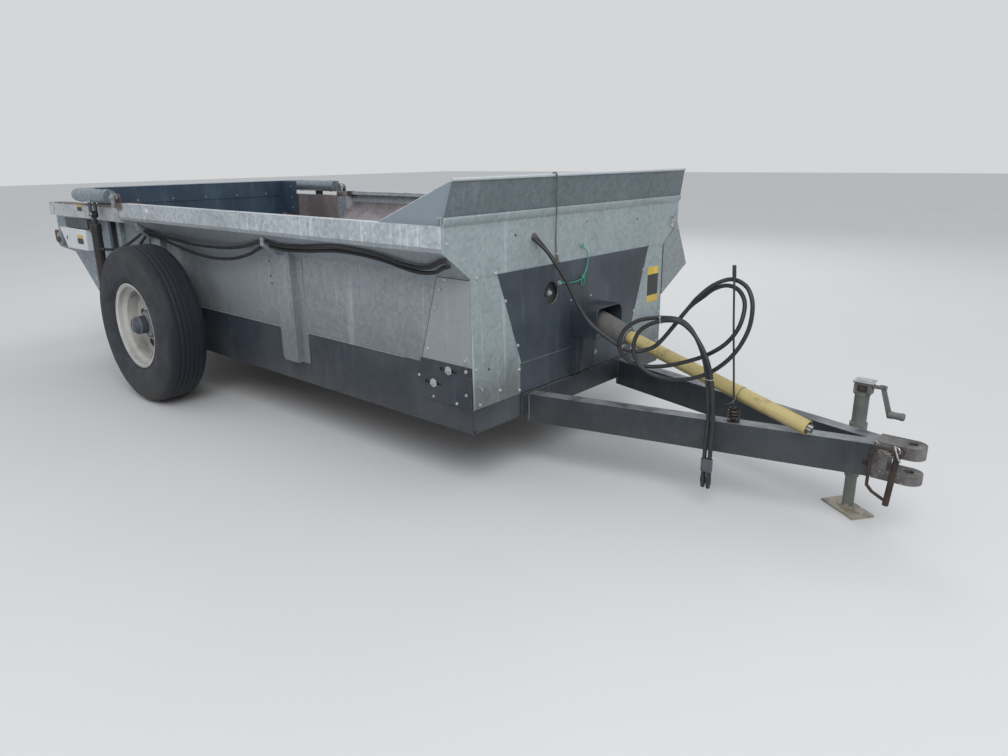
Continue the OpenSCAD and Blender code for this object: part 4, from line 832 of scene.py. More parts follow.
def tape_wrap(name, low, high, wraps, finish):
    """An oval sleeve round both hose ends, with the edges of its turns showing."""
    bm = bmesh.new()
    dice = random.Random(len(name))
    middle = (OUTER_END + INNER_END) / 2
    rings = []
    for i in range(wraps * 3 + 1):
        share = i / (wraps * 3)
        grow = .0006 * (i % 3) + .0006 * dice.random()
        ring = []
        for k in range(28):
            a = math.tau * k / 28
            side = .014 if math.cos(a) > 0 else -.014
            ring.append(bm.verts.new(Vector((
                middle.x + side + math.cos(a) * (.0136 + grow), middle.y + math.sin(a) * (.0136 + grow),
                low + (high - low) * share + .002 * math.sin(a + i)))))
        rings.append(ring)
    skin(bm, rings)
    return piece(name, bm, "frame_body", finish, angle=50)


coupler_outer = coupler("coupler_outer", OUTER_END)
coupler_inner = coupler("coupler_inner", INNER_END)
tape = tape_wrap("tape_on_hose_ends", .200, .262, 5, tape_film)
print("couplers", len(coupler_outer.data.polygons), "faces each")

# %% ties round both hoses


def tie(name, near):
    """A plastic tie round the two hoses, where the outer one passes the given point."""
    a = min(outer_line, key=lambda p: (p - near).length)
    b = min(inner_line, key=lambda p: (p - a).length)
    k = min(range(1, len(outer_line) - 1), key=lambda i: (outer_line[i] - a).length)
    along = (outer_line[k + 1] - outer_line[k - 1]).normalized()
    across = b - a
    across = (across - along * across.dot(along)).normalized()
    out = along.cross(across)
    reach = HOSE_D / 2 + .0016
    loop = []
    for i in range(33):
        t = math.tau * i / 32
        centre = b if math.cos(t) > 0 else a
        loop.append(centre + across * math.cos(t) * reach + out * math.sin(t) * reach)
    bm = bmesh.new()
    middle = a.lerp(b, .5)
    tube(bm, loop, .0017, 8)
    chamfered(bm, middle + out * (reach + .001), along * .004, across * .004, out * .003, .001)
    tube(bm, [middle + out * reach, middle + out * (reach + .012) + along * .006], .0013, 6)
    return piece(name, bm, "frame_body", tie_plastic)


ties = [tie("tie_at_guard", at(3.33, -.30, .725)), tie("tie_on_small_loop", at(3.52, -.285, .885)),
        tie("tie_on_hanging_run", at(3.79, -.286, .640))]
print("ties:", len(ties))

# %% [markdown]
# The tyres are used truck tyres. A tyre is a turned body, so its section is drawn once and turned: bead, ribs of
# the wall, shoulder, and a tread with five grooves round it. The grooves waver a little, as they do when worn.

# %% tyre section and tyres
TYRE_WALL = [
    (.286, .0945), (.294, .1045), (.301, .1130), (.309, .1185), (.315, .1187), (.319, .1225), (.326, .1265),
    (.333, .1303), (.337, .1337), (.342, .1339), (.346, .1350), (.366, .1433), (.392, .1469), (.420, .1485),
    (.446, .1478), (.470, .1447), (.485, .1412), (.488, .1425), (.493, .1415), (.496, .1391), (.506, .1350),
    (.510, .1358), (.514, .1334), (.524, .1256), (.5325, .1170), (.5382, .1075), (.5422, .0980), (.5450, .0890),
]
GROOVES = (.0640, .0320, 0.0, -.0320, -.0640)
TYRE_Y, TYRE_STEPS = 1.1810, 150


def tyre_section(angle):
    """The tyre's section at an angle: (radius, distance from its middle)."""
    section = list(TYRE_WALL)
    for g in GROOVES:
        crown = .548 - .0024 * (g / .084) ** 2
        wave = .0010 * math.sin(angle * 46 + g * 60)
        deep = .0065 if abs(g) < .05 else .0050
        section += [(crown - .0002, g + .0145), (crown, g + .0036 + wave), (crown - .0010, g + .0029 + wave),
                    (crown - deep, g + .0019 + wave), (crown - deep, g - .0019 + wave),
                    (crown - .0010, g - .0029 + wave), (crown, g - .0036 + wave), (crown - .0002, g - .0145)]
    return section + [(r, -y) for r, y in reversed(TYRE_WALL)]


def tyre_piece(side, sign):
    bm = bmesh.new()
    middle = Vector((AXLE_X, sign * TYRE_Y, AXLE_Z))
    rings = []
    for k in range(TYRE_STEPS):
        a = math.tau * k / TYRE_STEPS
        rings.append([
            bm.verts.new(middle + Vector((math.cos(a) * r, y, math.sin(a) * r))) for r, y in tyre_section(a)])
    skin(bm, [*rings, rings[0]], caps=False)
    return piece("truck_tyre_" + side, bm, f"wheel_{side}_body", tyre_finish, angle=28,
                 replaces=("tyre_" + side,))


tyres = [tyre_piece("right", -1), tyre_piece("left", 1)]
print("tyre faces:", len(tyres[0].data.polygons))

# %% [markdown]
# The rims stay as the drawing has them. A real disc wheel has hand holes between the hub and the rim, a ring of
# wheel nuts and a valve, so those are added. A hand hole is a pocket with a rolled lip, and its near-black colour is
# painted shade that stands in for the opening.

# %% wheel nuts, hand holes, hub bolts and valve
# Painted shade: a near-black that fills holes, slots, gaps and openings, and also colours the doubler's edge line and
# the rivet dots on the posts.
shade_black = rubber("painted_shade_black", (.010, .010, .011), (.050, .045, .038), .6)
DISC_Y = 1.1370


def wheel_details(side, sign):
    middle = Vector((AXLE_X, sign * DISC_Y, AXLE_Z))
    out = Vector((0, sign, 0))

    def spot(radius, turn, along):
        return middle + Vector((math.cos(turn) * radius, 0, math.sin(turn) * radius)) + out * along

    nuts = bmesh.new()
    for k in range(8):
        turn = math.tau * (k + .25) / 8
        bolt(nuts, spot(.1185, turn, .0), out, .0105, True, .012)
    for k in range(6):
        turn = math.tau * (k + .1) / 6
        bolt(nuts, spot(.0800, turn, .0765), out, .0060, False, .003)
    made = [piece("wheel_nuts_" + side, nuts, f"wheel_{side}_body", bolt_zinc)]

    lips, pockets = bmesh.new(), bmesh.new()
    for k in range(5):
        mid = math.tau * (k + .33) / 5
        loop = []
        for i in range(25):
            t = math.tau * i / 24
            radius = .188 + math.sin(t) * .0200
            turn = mid + math.cos(t) * .235 * (1 - .08 * math.sin(t))
            loop.append(spot(radius, turn, (radius - .138) / .096 * .030 + .0012))
        tube(lips, loop, .0028, 6)
        # The pockets carry painted shade in place of the open hand holes.
        ring = [pockets.verts.new(p + out * .0006) for p in loop[:-1]]
        heart = pockets.verts.new(spot(.188, mid, .0168))
        for a, b in zip(ring, ring[1:] + ring[:1]):
            pockets.faces.new([a, b, heart])
    made.append(piece("hand_hole_lips_" + side, lips, f"wheel_{side}_body", rim_paint))
    made.append(piece("hand_holes_" + side, pockets, f"wheel_{side}_body", shade_black))

    valve = bmesh.new()
    base = spot(.236, 2.2, .060)
    turned(valve, base, (out * 2 + Vector((math.cos(2.2), 0, math.sin(2.2))) * -.6).normalized(),
           [(.0055, 0), (.0055, .018), (.0042, .020), (.0042, .042), (.0050, .043), (.0050, .050), (.003, .051)], 12)
    made.append(piece("valve_" + side, valve, f"wheel_{side}_body", bright_zinc))

    cap = bmesh.new()
    turned(cap, middle + out * .1330, out, [(.0640, 0), (.0640, .0080), (.0620, .0100)], 36, caps=False)
    collar = [(.0900, -.012), (.0900, -.0095), (.0640, .0040), (.0640, .0060)]
    turned(cap, middle + out * .0840, out, collar, 36, caps=False)
    made.append(piece("hub_cap_rings_" + side, cap, f"wheel_{side}_body", hub_paint))
    return made


wheel_parts = wheel_details("right", -1) + wheel_details("left", 1)
print("wheel pieces:", len(wheel_parts))

# %% [markdown]
# Bolts say how a machine goes together, so they sit where the photograph shows them: along the folds of the front
# sheets, in the slots of the corner plates, along the posts and across the gate. Each head is turned a little
# differently from the next.

# %% bolts of the front and the corners
FRONT_BOLTS = [
    (-1.037, 1.274), (-.713, 1.105), (-.850, 1.099), (-.650, .959), (-.556, .715), (-.547, .583), (-.545, .470),
    (-.697, .508), (-.849, .470), (-.871, .655),
]
SMALL_FRONT_HOLES = [(-.777, .637), (-.565, 1.272), (-.889, .338)]
RIGHT_BOLTS = [
    (2.481, .568, .0080), (2.819, .644, .0095), (2.581, .471, .0070), (2.816, .523, .0080), (2.750, .467, .0080)]
DOUBLER_BOLTS = [(2.620, .938), (2.650, 1.028), (2.690, 1.080), (2.546, .717)]
DOUBLER_EDGE = [(2.500, .664), (2.630, 1.090), (2.852, 1.090)]

front_bolts = bmesh.new()
for y, z in FRONT_BOLTS:
    for sign in (1, -1):
        bolt(front_bolts, at(2.8555, y * sign, z), FRONT, .0092, False, .0020)
bolt(front_bolts, at(2.8600, .131, .541), FRONT, .0115, True)
bolt(front_bolts, at(2.8430, -.280, .945), FRONT, .0130, False, .0090)
for y in (-.105, .082):
    bolt(front_bolts, at(2.8600, y, .880), FRONT, .0060, False)
tube(front_bolts, [at(2.8550, -.852, .565), at(2.8780, -.854, .561), at(2.8850, -.856, .548)], .0026, 8)
piece("front_bolts", front_bolts, "frame_body", bolt_zinc)

holes = bmesh.new()
for y, z in SMALL_FRONT_HOLES:
    for sign in (1, -1):
        turned(holes, at(2.8550, y * sign, z), FRONT, [(.0062, 0), (.0062, .0016), (.0045, .0018)], 16)
piece("front_small_holes", holes, "frame_body", shade_black)

for side, sign in (("right", -1), ("left", 1)):
    out = Vector((0, sign, 0))
    corner = bmesh.new()
    for x, z, size in RIGHT_BOLTS:
        bolt(corner, at(x, sign * .8978, z), out, size, False, .002)
    for x, z in ((2.693, .627), (2.582, .543)):
        turned(corner, at(x, sign * .8975, z), out, [(.0225, 0), (.0225, .0022), (.0210, .0030)], 24)
        bolt(corner, at(x, sign * .9005, z), out, .0110, False, .010)
    rivets = bmesh.new()
    for x, z in DOUBLER_BOLTS:
        bolt(rivets, at(x, sign * (.8925 if sign < 0 else .8898), z), out, .0078, False, .002)
    piece("doubler_bolts_" + side, rivets, "frame_body", bright_zinc)
    bolt(corner, at(2.825, sign * .8900, .702), out, .0130, True, .012)
    piece("corner_bolts_" + side, corner, "frame_body", bolt_zinc)
    # Painted shadow: a thin dark line along the doubler's edge.
    edge = bmesh.new()
    tube(edge, [at(x, sign * (.8925 if sign < 0 else .8895), z) for x, z in DOUBLER_EDGE], .0016, 6)
    piece("doubler_shadow_line_" + side, edge, "frame_body", shade_black)
print("front and corner bolts placed")

# %% bolts of the posts, rails, gate and rear
POST_RIVETS = [(1.135, 1.104), (1.138, 1.043), (1.139, .951), (1.145, .907), (-.530, 1.040), (-.530, .900)]
BEATER_X, BEATER_Z = -2.300, .970
for side, sign in (("right", -1), ("left", 1)):
    out = Vector((0, sign, 0))
    rows, dots, lips = bmesh.new(), bmesh.new(), bmesh.new()
    for x, z in POST_RIVETS:
        turned(dots, at(x, sign * .8893, z), out, [(.0060, 0), (.0060, .0026), (.0045, .0034)], 12)
    bolt(rows, at(2.818, sign * 1.0655, 1.2860), out, .0092, False, .001)
    for x in (1.80, .90, -.42):
        bolt(rows, at(x, sign * 1.0655, 1.2640), out, .0050, False, .001)
    piece("side_bolts_" + side, rows, "frame_body", bolt_zinc)
    piece("post_rivets_" + side, dots, "frame_body", shade_black)
    tube(lips, [at(x, sign * .8920, .6405) for x in (-.55, .5, 1.5, 2.36)], .0030, 8)
    piece("sill_lip_" + side, lips, "frame_body", shield_sheet)

    rear = bmesh.new()
    for x, z in ((-1.60, 1.255), (-1.85, 1.255), (-2.08, 1.255), (-1.30, 1.255), (-.80, 1.255)):
        bolt(rear, at(x, sign * .9995, z), out, .0070, False, .001)
    for x, z in ((-.62, .52), (-.62, .80), (-.62, 1.04), (-1.20, .52), (-1.35, .80), (-1.30, .42)):
        bolt(rear, at(x, sign * .8955, z), out, .0070, True)
    for k in range(5):
        a = math.tau * (k + .2) / 5
        y = sign * (.9290 if sign < 0 else .9790)
        bolt(rear, at(BEATER_X + math.cos(a) * .046, y, BEATER_Z + math.sin(a) * .046), out, .0058, False)
    piece("rear_bolts_" + side, rear, "frame_body", bolt_zinc)

gate_bolts = bmesh.new()
for k in range(6):
    bolt(gate_bolts, at(-1.4415, -.850 + .309 * k, 1.320), FRONT, .0066, False)
    bolt(gate_bolts, at(-1.4455, -.850 + .309 * k, .900), FRONT, .0066, False)
for sign in (1, -1):
    for dz in (.05, .15, .25):
        bolt(gate_bolts, at(-1.250, sign * .8645, 1.436 - dz), LEFT * -sign, .0060, False)
piece("gate_bolts", gate_bolts, "gate_body", bolt_zinc)
print("rows of bolts placed")

# %% [markdown]
# Where the tongue tubes meet the front beam they are welded, and the bead stands bright where the paint has worn.
# A bead is a thin lumpy tube laid in the corner.

# %% weld beads on tongue, hitch, jack and hood
weld_paint = painted("welds_worn_bright", (.060, .064, .068), (.130, .134, .136), dusty=.4, chips=.9, edge=.9,
                     bare=(.42, .41, .39))
welds = bmesh.new()
for sign in (1, -1):
    weld(welds, [at(2.8630, sign * .4745, .286), at(2.8630, sign * .4745, .429)], .0052, 3)
    weld(welds, [at(2.8630, sign * .4735, .4305), at(2.8630, sign * .400, .4305)], .0052, 4)
    weld(welds, [at(2.8630, sign * .3960, .429), at(2.8630, sign * .3960, .286)], .0048, 5)
weld(welds, [at(4.4605, -.054, .4305), at(4.4605, .054, .4305)], .0045, 7)
weld(welds, [at(4.4605, -.0560, .290), at(4.4605, -.0560, .428)], .0042, 8)
weld(welds, [at(4.4605, .0560, .290), at(4.4605, .0560, .428)], .0042, 9)
weld(welds, [at(4.296, .116, .412), at(4.372, .096, .412)], .0040, 12)
piece("weld_beads", welds, "frame_body", weld_paint)
print("weld beads laid")

# %% [markdown]
# A sheet's edge is folded back on itself, because a raw edge cuts and bends. Seams and cover plates are thin
# rectangles that lie on the front. The folds themselves are thin tubes along the edges, a little dented.

# %% seams and cover plates of the front


def front_plate(bm, x, y_from, y_to, z_from, z_to, thickness):
    """A rectangular plate that lies on the front."""
    corners = [(y_from, z_from), (y_to, z_from), (y_to, z_to), (y_from, z_to)]
    slab(bm, [at(x, y, z) for y, z in corners], thickness, FRONT)


seams = bmesh.new()
for sign in (1, -1):
    front_plate(seams, 2.8558, sign * .889, sign * .703, 1.0965, 1.1000, .0018)
    front_plate(seams, 2.8558, sign * .8900, sign * .8780, .4500, 1.097, .0012)
piece("front_seams", seams, "frame_body", front_sheet, bevel=.0004)

fold = bmesh.new()
FOLD_SECTION = [(2.8548, 1.3440), (2.8720, 1.3660), (2.8738, 1.3850), (2.8690, 1.3915)]
slab(fold, [at(x, -1.064, z) for x, z in FOLD_SECTION], 2.128, LEFT)
piece("front_top_fold", fold, "frame_body", front_sheet, bevel=.003)
lower = bmesh.new()
front_plate(lower, 2.8562, -.535, .535, .4500, .6120, .0026)
piece("lower_cover_plate", lower, "frame_body", cover_paint, bevel=.0008)
edges = bmesh.new()
tube(edges, [at(2.8595, -.533, .6135), at(2.8595, -.300, .6135), at(2.8595, -.100, .6135)], .0024, 6)
tube(edges, [at(2.8625, -.0975, .4640), at(2.8625, -.0975, .6000)], .0026, 6)
piece("worn_plate_edges", edges, "frame_body", hub_paint)
strips = bmesh.new()
for sign in (1, -1):
    front_plate(strips, 2.8503, sign * .5360, sign * .8880, .3240, .4460, .0016)
piece("front_corner_strips", strips, "frame_body", strip_paint, bevel=.0006)
# Painted shade: a dark strip fills the gap beside the shield.
gap = bmesh.new()
front_plate(gap, 2.8562, .8850, .8960, .7700, 1.0900, .0012)
piece("shield_gap", gap, "frame_body", shade_black)
print("seams and plates laid")

# %% hems along the rails, the gussets and the front
HEM_FRONT, HEM_REAR, HEM_STEPS = 2.848, -.546, 120
hem = bmesh.new()
dice = random.Random(11)
for sign in (1, -1):
    line = []
    for k in range(HEM_STEPS):
        x = HEM_REAR + (HEM_FRONT - HEM_REAR) * k / (HEM_STEPS - 1)
        dent = .0016 * math.sin(k * .9) * dice.random() + (.0022 if dice.random() > .93 else 0)
        line.append(at(x, sign * (1.0632 - dent * .6), 1.3470 - dent))
    tube(hem, line, .0034, 8)
piece("rail_hems", hem, "frame_body", rail_sheet)

gusset_hem = bmesh.new()
for sign in (1, -1):
    tube(gusset_hem, [at(2.3850, sign * 1.0330, 1.3475), at(2.8990, sign * 1.0330, 1.5480)], .0034, 8)
piece("gusset_hems", gusset_hem, "frame_body", rail_sheet)
top_hem = bmesh.new()
tube(top_hem, [at(2.8520, y, 1.3890) for y in (-1.064, -.5, 0, .5, 1.064)], .0032, 8)
piece("front_hem", top_hem, "frame_body", rail_sheet)
print("hems laid")

# %% [markdown]
# The drive shaft's guard is a faded yellow tube with a rubber cone at the gearbox end. The real tube is hollow and
# its open end shows the steel shaft inside, so the tube is turned with a wall, and the shaft is a piece of its own.
# The cone is pleated at its small end, where a wire clip grips it.

# %% drive shaft guard
RING_ALONG = PTO_LENGTH * .74
guard_tube = bmesh.new()
turned(guard_tube, PTO_START, PTO_AIM, [
    (.0310, PTO_LENGTH - .20), (.0310, PTO_LENGTH), (.0340, PTO_LENGTH), (.0350, PTO_LENGTH - .0015),
    (.0350, RING_ALONG + .004), (.0364, RING_ALONG + .003), (.0364, RING_ALONG - .003), (.0350, RING_ALONG - .004),
    (.0350, .366), (.0362, .364), (.0362, .352), (.0350, .350), (.0350, .326)], 40, caps=False)
piece("shaft_guard_tube", guard_tube, "frame_body", yellow_finish, angle=50,
      replaces=("pto_shaft",))

inner = bmesh.new()
turned(inner, PTO_START, PTO_AIM, [(.0190, .0013), (.0190, .345)], 24)
turned(inner, PTO_START, PTO_AIM, [(.0308, PTO_LENGTH - .16), (.0308, PTO_LENGTH - .158)], 32)
u, v = frame_along(PTO_AIM)
rings = []
for along in (PTO_LENGTH - .160, PTO_LENGTH + .018, PTO_LENGTH + .0195):
    ring = []
    for k in range(36):
        a = math.tau * k / 36
        r = .0165 + .0042 * math.cos(3 * a) - (.001 if along > PTO_LENGTH + .019 else 0)
        ring.append(inner.verts.new(PTO_START + PTO_AIM * along + (u * math.cos(a) + v * math.sin(a)) * r))
    rings.append(ring)
skin(inner, rings)
piece("inner_drive_shaft", inner, "frame_body", shaft_steel, replaces=("pto_shaft",))

cone = bmesh.new()
CONE = [(.058, .030), (.0655, .030), (.0660, .034), (.0655, .040), (.0648, .070), (.0652, .076), (.0645, .083),
        (.0640, .112), (.0645, .118), (.0636, .125), (.0628, .150), (.0629, .156), (.0618, .163), (.0604, .200),
        (.0588, .232), (.0568, .258), (.0545, .282), (.0520, .302), (.0490, .316), (.0445, .326), (.0395, .331),
        (.0375, .333)]
rings = []
for radius, along in CONE:
    pleat = max(0, (along - .225) / .11)
    ring = []
    for k in range(96):
        a = math.tau * k / 96
        r = radius * (1 + .055 * pleat * abs(math.sin(9 * a)) - .02 * pleat) + .0006 * math.sin(3 * a + along * 40)
        ring.append(cone.verts.new(PTO_START + PTO_AIM * along + (u * math.cos(a) + v * math.sin(a)) * r))
    rings.append(ring)
skin(cone, rings, caps=False)
piece("rubber_cone", cone, "frame_body", cone_plastic, angle=60, replaces=("pto_cone",))

clip = bmesh.new()


def hoop(bm, centre, axis, radius, thick, sides=8, steps=40):
    """A closed ring of wire."""
    a, b = frame_along(axis)
    turns = [math.tau * k / steps for k in range(steps + 1)]
    tube(bm, [centre + (a * math.cos(t) + b * math.sin(t)) * radius for t in turns], thick, sides)


hoop(clip, PTO_START + PTO_AIM * .316, PTO_AIM, .0515, .0015)
hoop(clip, PTO_START + PTO_AIM * .334, PTO_AIM, .0385, .0015)
hoop(clip, PTO_START + PTO_AIM * (RING_ALONG + .012), PTO_AIM, .0366, .0012)
piece("wire_clips", clip, "frame_body", spring_steel)
print("drive shaft length:", round(PTO_LENGTH, 3))

# %% [markdown]
# The rod that carries the hoses stands on a coil spring, so that it can sway. The spring is a real helix here: a
# tube along a line of points on a cylinder, drawn together at its top into the rod's foot.

# %% hose rod on its spring
ROD_FOOT, ROD_TIP = at(3.869, -.176, .430), at(3.812, -.170, 1.162)
SPRING_STEPS, STEPS_A_TURN = 100, 24
rod_aim = (ROD_TIP - ROD_FOOT).normalized()
helix = []
for k in range(SPRING_STEPS):
    turn = math.tau * k / STEPS_A_TURN
    rise = .0110 + .0148 * k / STEPS_A_TURN
    radius = .0265 - max(0, k - 78) / 22 * .0200
    helix.append(ROD_FOOT + Vector((math.cos(turn) * radius, math.sin(turn) * radius, rise)))
spring = bmesh.new()
tube(spring, helix, .0042, 8)
seat = [(.0295, 0), (.0300, .001), (.0300, .0055), (.0285, .0065), (.0120, .0070)]
turned(spring, ROD_FOOT, UP, seat, 32)
turned(spring, ROD_FOOT, UP, [(.0100, .004), (.0100, .030), (.0080, .034)], 20)
piece("support_spring", spring, "frame_body", spring_steel, replaces=("hose_support",))
rod = bmesh.new()
rod_line = [ROD_FOOT.lerp(ROD_TIP, t / 11 * .94) + Vector((.0015 * math.sin(t * .6), 0, 0)) for t in range(12)]
tube(rod, rod_line, .0048, 12)
piece("support_rod", rod, "frame_body", spring_steel, replaces=("hose_support",))
sleeve = bmesh.new()
turned(sleeve, ROD_FOOT.lerp(ROD_TIP, .925), rod_aim, [(.0070, -.002), (.0086, 0), (.0088, .020), (.0086, .038),
                                                       (.0086, .052), (.0070, .0545), (.003, .0550)], 16)
piece("support_sleeve", sleeve, "frame_body", black_plastic, replaces=("hose_support",))
hook = bmesh.new()
tube(hook, catmull([at(3.866, -.171, .560), at(3.873, -.184, .545), at(3.868, -.200, .530), at(3.853, -.200, .520),
                    at(3.838, -.190, .513), at(3.821, -.178, .508)], 8), .0022, 8)
piece("support_wire", hook, "frame_body", hook_wire)
print("spring turns:", round(SPRING_STEPS / STEPS_A_TURN, 1))

# %% [markdown]
# The hoses of the gate cylinders run under the flare of the right side. They are held in clips, so they are fixed
# tubes and not loose cords. Their lines are the drawing's, made smooth.

# %% side hoses and their clips
UPPER_SIDE = [
    (-.978, -1.055, .985), (-.925, -1.040, .984), (-.865, -.992, .986), (-.762, -.962, 1.022), (-.620, -.962, 1.070),
    (-.470, -.975, 1.115), (-.314, -1.003, 1.156), (-.200, -.985, 1.144), (-.050, -.967, 1.124),
    (.150, -.960, 1.108), (.350, -.960, 1.099), (.600, -.960, 1.100), (.850, -.962, 1.113), (1.100, -.990, 1.148),
    (1.345, -1.037, 1.190), (1.468, -1.012, 1.171), (1.711, -1.020, 1.180), (2.026, -1.055, 1.208),
    (2.250, -1.050, 1.202), (2.400, -1.028, 1.182), (2.490, -1.000, 1.156), (2.562, -.980, 1.142),
    (2.630, -.980, 1.142), (2.710, -.998, 1.157), (2.790, -1.028, 1.184), (2.850, -1.045, 1.199),
]
LOWER_SIDE = [
    (-.978, -1.055, .640), (-.930, -1.040, .645), (-.860, -.990, .700), (-.780, -.960, .800), (-.680, -.952, .920),
    (-.560, -.955, 1.020), (-.430, -.965, 1.090), (-.314, -.975, 1.128), (-.200, -.962, 1.114),
    (-.050, -.955, 1.090), (.150, -.955, 1.060), (.350, -.955, 1.036), (.600, -.955, 1.026), (.850, -.955, 1.046),
    (1.050, -.962, 1.090), (1.200, -.985, 1.135), (1.345, -1.008, 1.164), (1.468, -.985, 1.146),
    (1.711, -.998, 1.157), (2.026, -1.032, 1.184), (2.250, -1.028, 1.179), (2.400, -1.004, 1.156),
    (2.490, -.978, 1.130), (2.562, -.960, 1.116), (2.630, -.960, 1.116), (2.710, -.974, 1.128),
    (2.790, -1.004, 1.156), (2.850, -1.020, 1.172),
]
side_lines = bmesh.new()
for route in (UPPER_SIDE, LOWER_SIDE):
    tube(side_lines, catmull([at(*p) for p in route], 5), .0100, 14)
piece("side_hose_pair", side_lines, "frame_body", side_hose_finish, angle=60, replaces=("side_hoses",))

clips = bmesh.new()
hanger = bmesh.new()
for x, part in ((-.320, clips), (1.345, hanger)):
    slab(part, [at(x - .016, -.9306, 1.104), at(x - .016, -.9700, 1.104), at(x - .016, -1.0500, 1.166),
                 at(x - .016, -1.0500, 1.2170), at(x - .016, -.9306, 1.1276)], .032, FRONT)
    bolt(part, at(x, -1.0500, 1.190), Vector((0, -1, 0)), .0065, False, .001)
piece("side_hose_hanger", hanger, "frame_body", side_sheet, bevel=.0012, replaces=("side_hoses",))
piece("side_hose_clips", clips, "frame_body", shield_sheet, bevel=.0012, replaces=("side_hoses",))

fittings = bmesh.new()
for z in (.985, .640):
    turned(fittings, at(-1.030, -1.055, z), FRONT, [(.0135, .010), (.0135, .034)], 6)
    turned(fittings, at(-1.030, -1.055, z), FRONT, [(.0122, .034), (.0128, .036), (.0128, .074), (.0112, .078)], 20)
piece("hose_end_fittings", fittings, "cylinder_right_body", coupler_steel)
print("side hoses:", len(UPPER_SIDE), "and", len(LOWER_SIDE), "points")

# %% [markdown]
# An old rope hangs over the splash guard and a green twine ties two bolts of the front. A rope is several strands
# that wind round one line, so each strand is a tube whose line is a helix round the rope's own.

# %% rope and twine


def twisted(bm, line, radius, strands=3, pitch=.016):
    """Strands that wind round a line."""
    steps = [0.0]
    for a, b in zip(line, line[1:]):
        steps.append(steps[-1] + (b - a).length)
    for s in range(strands):
        path = []
        side = None
        for point, aim, along in zip(line, directions(line), steps):
            side = frame_along(aim)[0] if side is None else (side - aim * side.dot(aim)).normalized()
            turn = math.tau * (along / pitch + s / strands)
            path.append(point + (side * math.cos(turn) + aim.cross(side) * math.sin(turn)) * radius * .52)
        tube(bm, path, radius * .56, 6)


def knot(bm, centre, axis, size, radius):
    """A small overhand knot: one closed trefoil of rope."""
    a, b = frame_along(axis)
    loop = []
    for k in range(49):
        t = math.tau * k / 48
        loop.append(centre + a * (math.sin(t) + 2 * math.sin(2 * t)) * size / 3
                    + b * (math.cos(t) - 2 * math.cos(2 * t)) * size / 3 + axis * math.sin(3 * t) * size / 2.6)
    tube(bm, loop, radius, 7)


rope = bmesh.new()
rope_line = catmull([
    at(2.826, -.330, 1.395), at(2.838, -.325, 1.440), at(2.874, -.320, 1.520), at(2.8925, -.317, 1.556),
    at(2.9030, -.315, 1.5625), at(2.9140, -.312, 1.5560), at(2.9110, -.306, 1.535), at(2.8880, -.276, 1.440),
    at(2.8785, -.262, 1.388), at(2.8660, -.252, 1.300), at(2.8610, -.245, 1.220), at(2.8610, -.243, 1.172),
    at(2.8620, -.242, 1.140)], 14)
twisted(rope, rope_line, .0036)
knot(rope, at(2.8670, -.242, 1.128), Vector((1, 0, 0)), .011, .0034)
twisted(rope, catmull([
    at(2.8660, -.240, 1.118), at(2.8680, -.230, 1.108), at(2.8660, -.218, 1.096), at(2.8640, -.214, 1.070)], 10), .0034)
twisted(rope, catmull([at(2.8660, -.246, 1.118), at(2.8660, -.250, 1.100), at(2.8640, -.247, 1.080)], 10), .0034)
knot(rope, at(2.8270, -.331, 1.386), Vector((0, 0, 1)), .009, .0034)
piece("rope_over_guard", rope, "frame_body", rope_fibre, angle=60)

twine = bmesh.new()
twisted(twine, catmull([
    at(2.8650, -.013, 1.168), at(2.8730, .016, 1.142), at(2.8700, .036, 1.106), at(2.8700, .034, 1.066),
    at(2.8710, .022, 1.034), at(2.8690, -.008, .999)], 12), .0036, 3, .012)
knot(twine, at(2.8720, -.008, .996), Vector((1, 0, 0)), .0125, .0030)
twisted(twine, catmull([
    at(2.8700, -.016, .990), at(2.8690, -.062, .981), at(2.8690, -.130, .982), at(2.8670, -.206, .991)], 12), .0036, 3,
    .012)
twisted(twine, catmull([at(2.8700, -.004, .990), at(2.8700, .006, .975), at(2.8680, .001, .955)], 8), .0030, 3, .012)
twisted(twine, catmull([at(2.8700, -.012, .990), at(2.8690, -.020, .970), at(2.8680, -.012, .948)], 8), .0030, 3, .012)
hoop(twine, at(2.8665, -.013, 1.170), FRONT, .0085, .0030)
hoop(twine, at(2.8690, -.214, .991), FRONT, .0085, .0030)
piece("green_twine", twine, "frame_body", green_fibre, angle=60)

eyes = bmesh.new()
bolt(eyes, at(2.8560, -.013, 1.170), FRONT, .0070, False, .007)
bolt(eyes, at(2.8600, -.214, .991), FRONT, .0085, True, .007)
bolt(eyes, at(2.8560, -.243, 1.150), FRONT, .0060, False, .004)
piece("tie_bolts", eyes, "frame_body", bolt_zinc)
print("rope points:", len(rope_line))

# %% [markdown]
# Warning plates stay blank here: each is a thin plate with rounded corners, yellow at its ends and black in its
# middle, faded and dusty like the rest.

# %% blank plates


PLATE_CORNER = .004


def plate(bm, centre, right, up, half_w, half_h, thick):
    """A thin plate with rounded corners."""
    out = right.cross(up).normalized()
    ring = []
    for k in range(24):
        a = math.tau * (k + .5) / 24
        sx, sy = (1 if math.cos(a) > 0 else -1), (1 if math.sin(a) > 0 else -1)
        ring.append(centre + right * (sx * (half_w - PLATE_CORNER) + math.cos(a) * PLATE_CORNER)
                    + up * (sy * (half_h - PLATE_CORNER) + math.sin(a) * PLATE_CORNER))
    slab(bm, ring, thick, out)


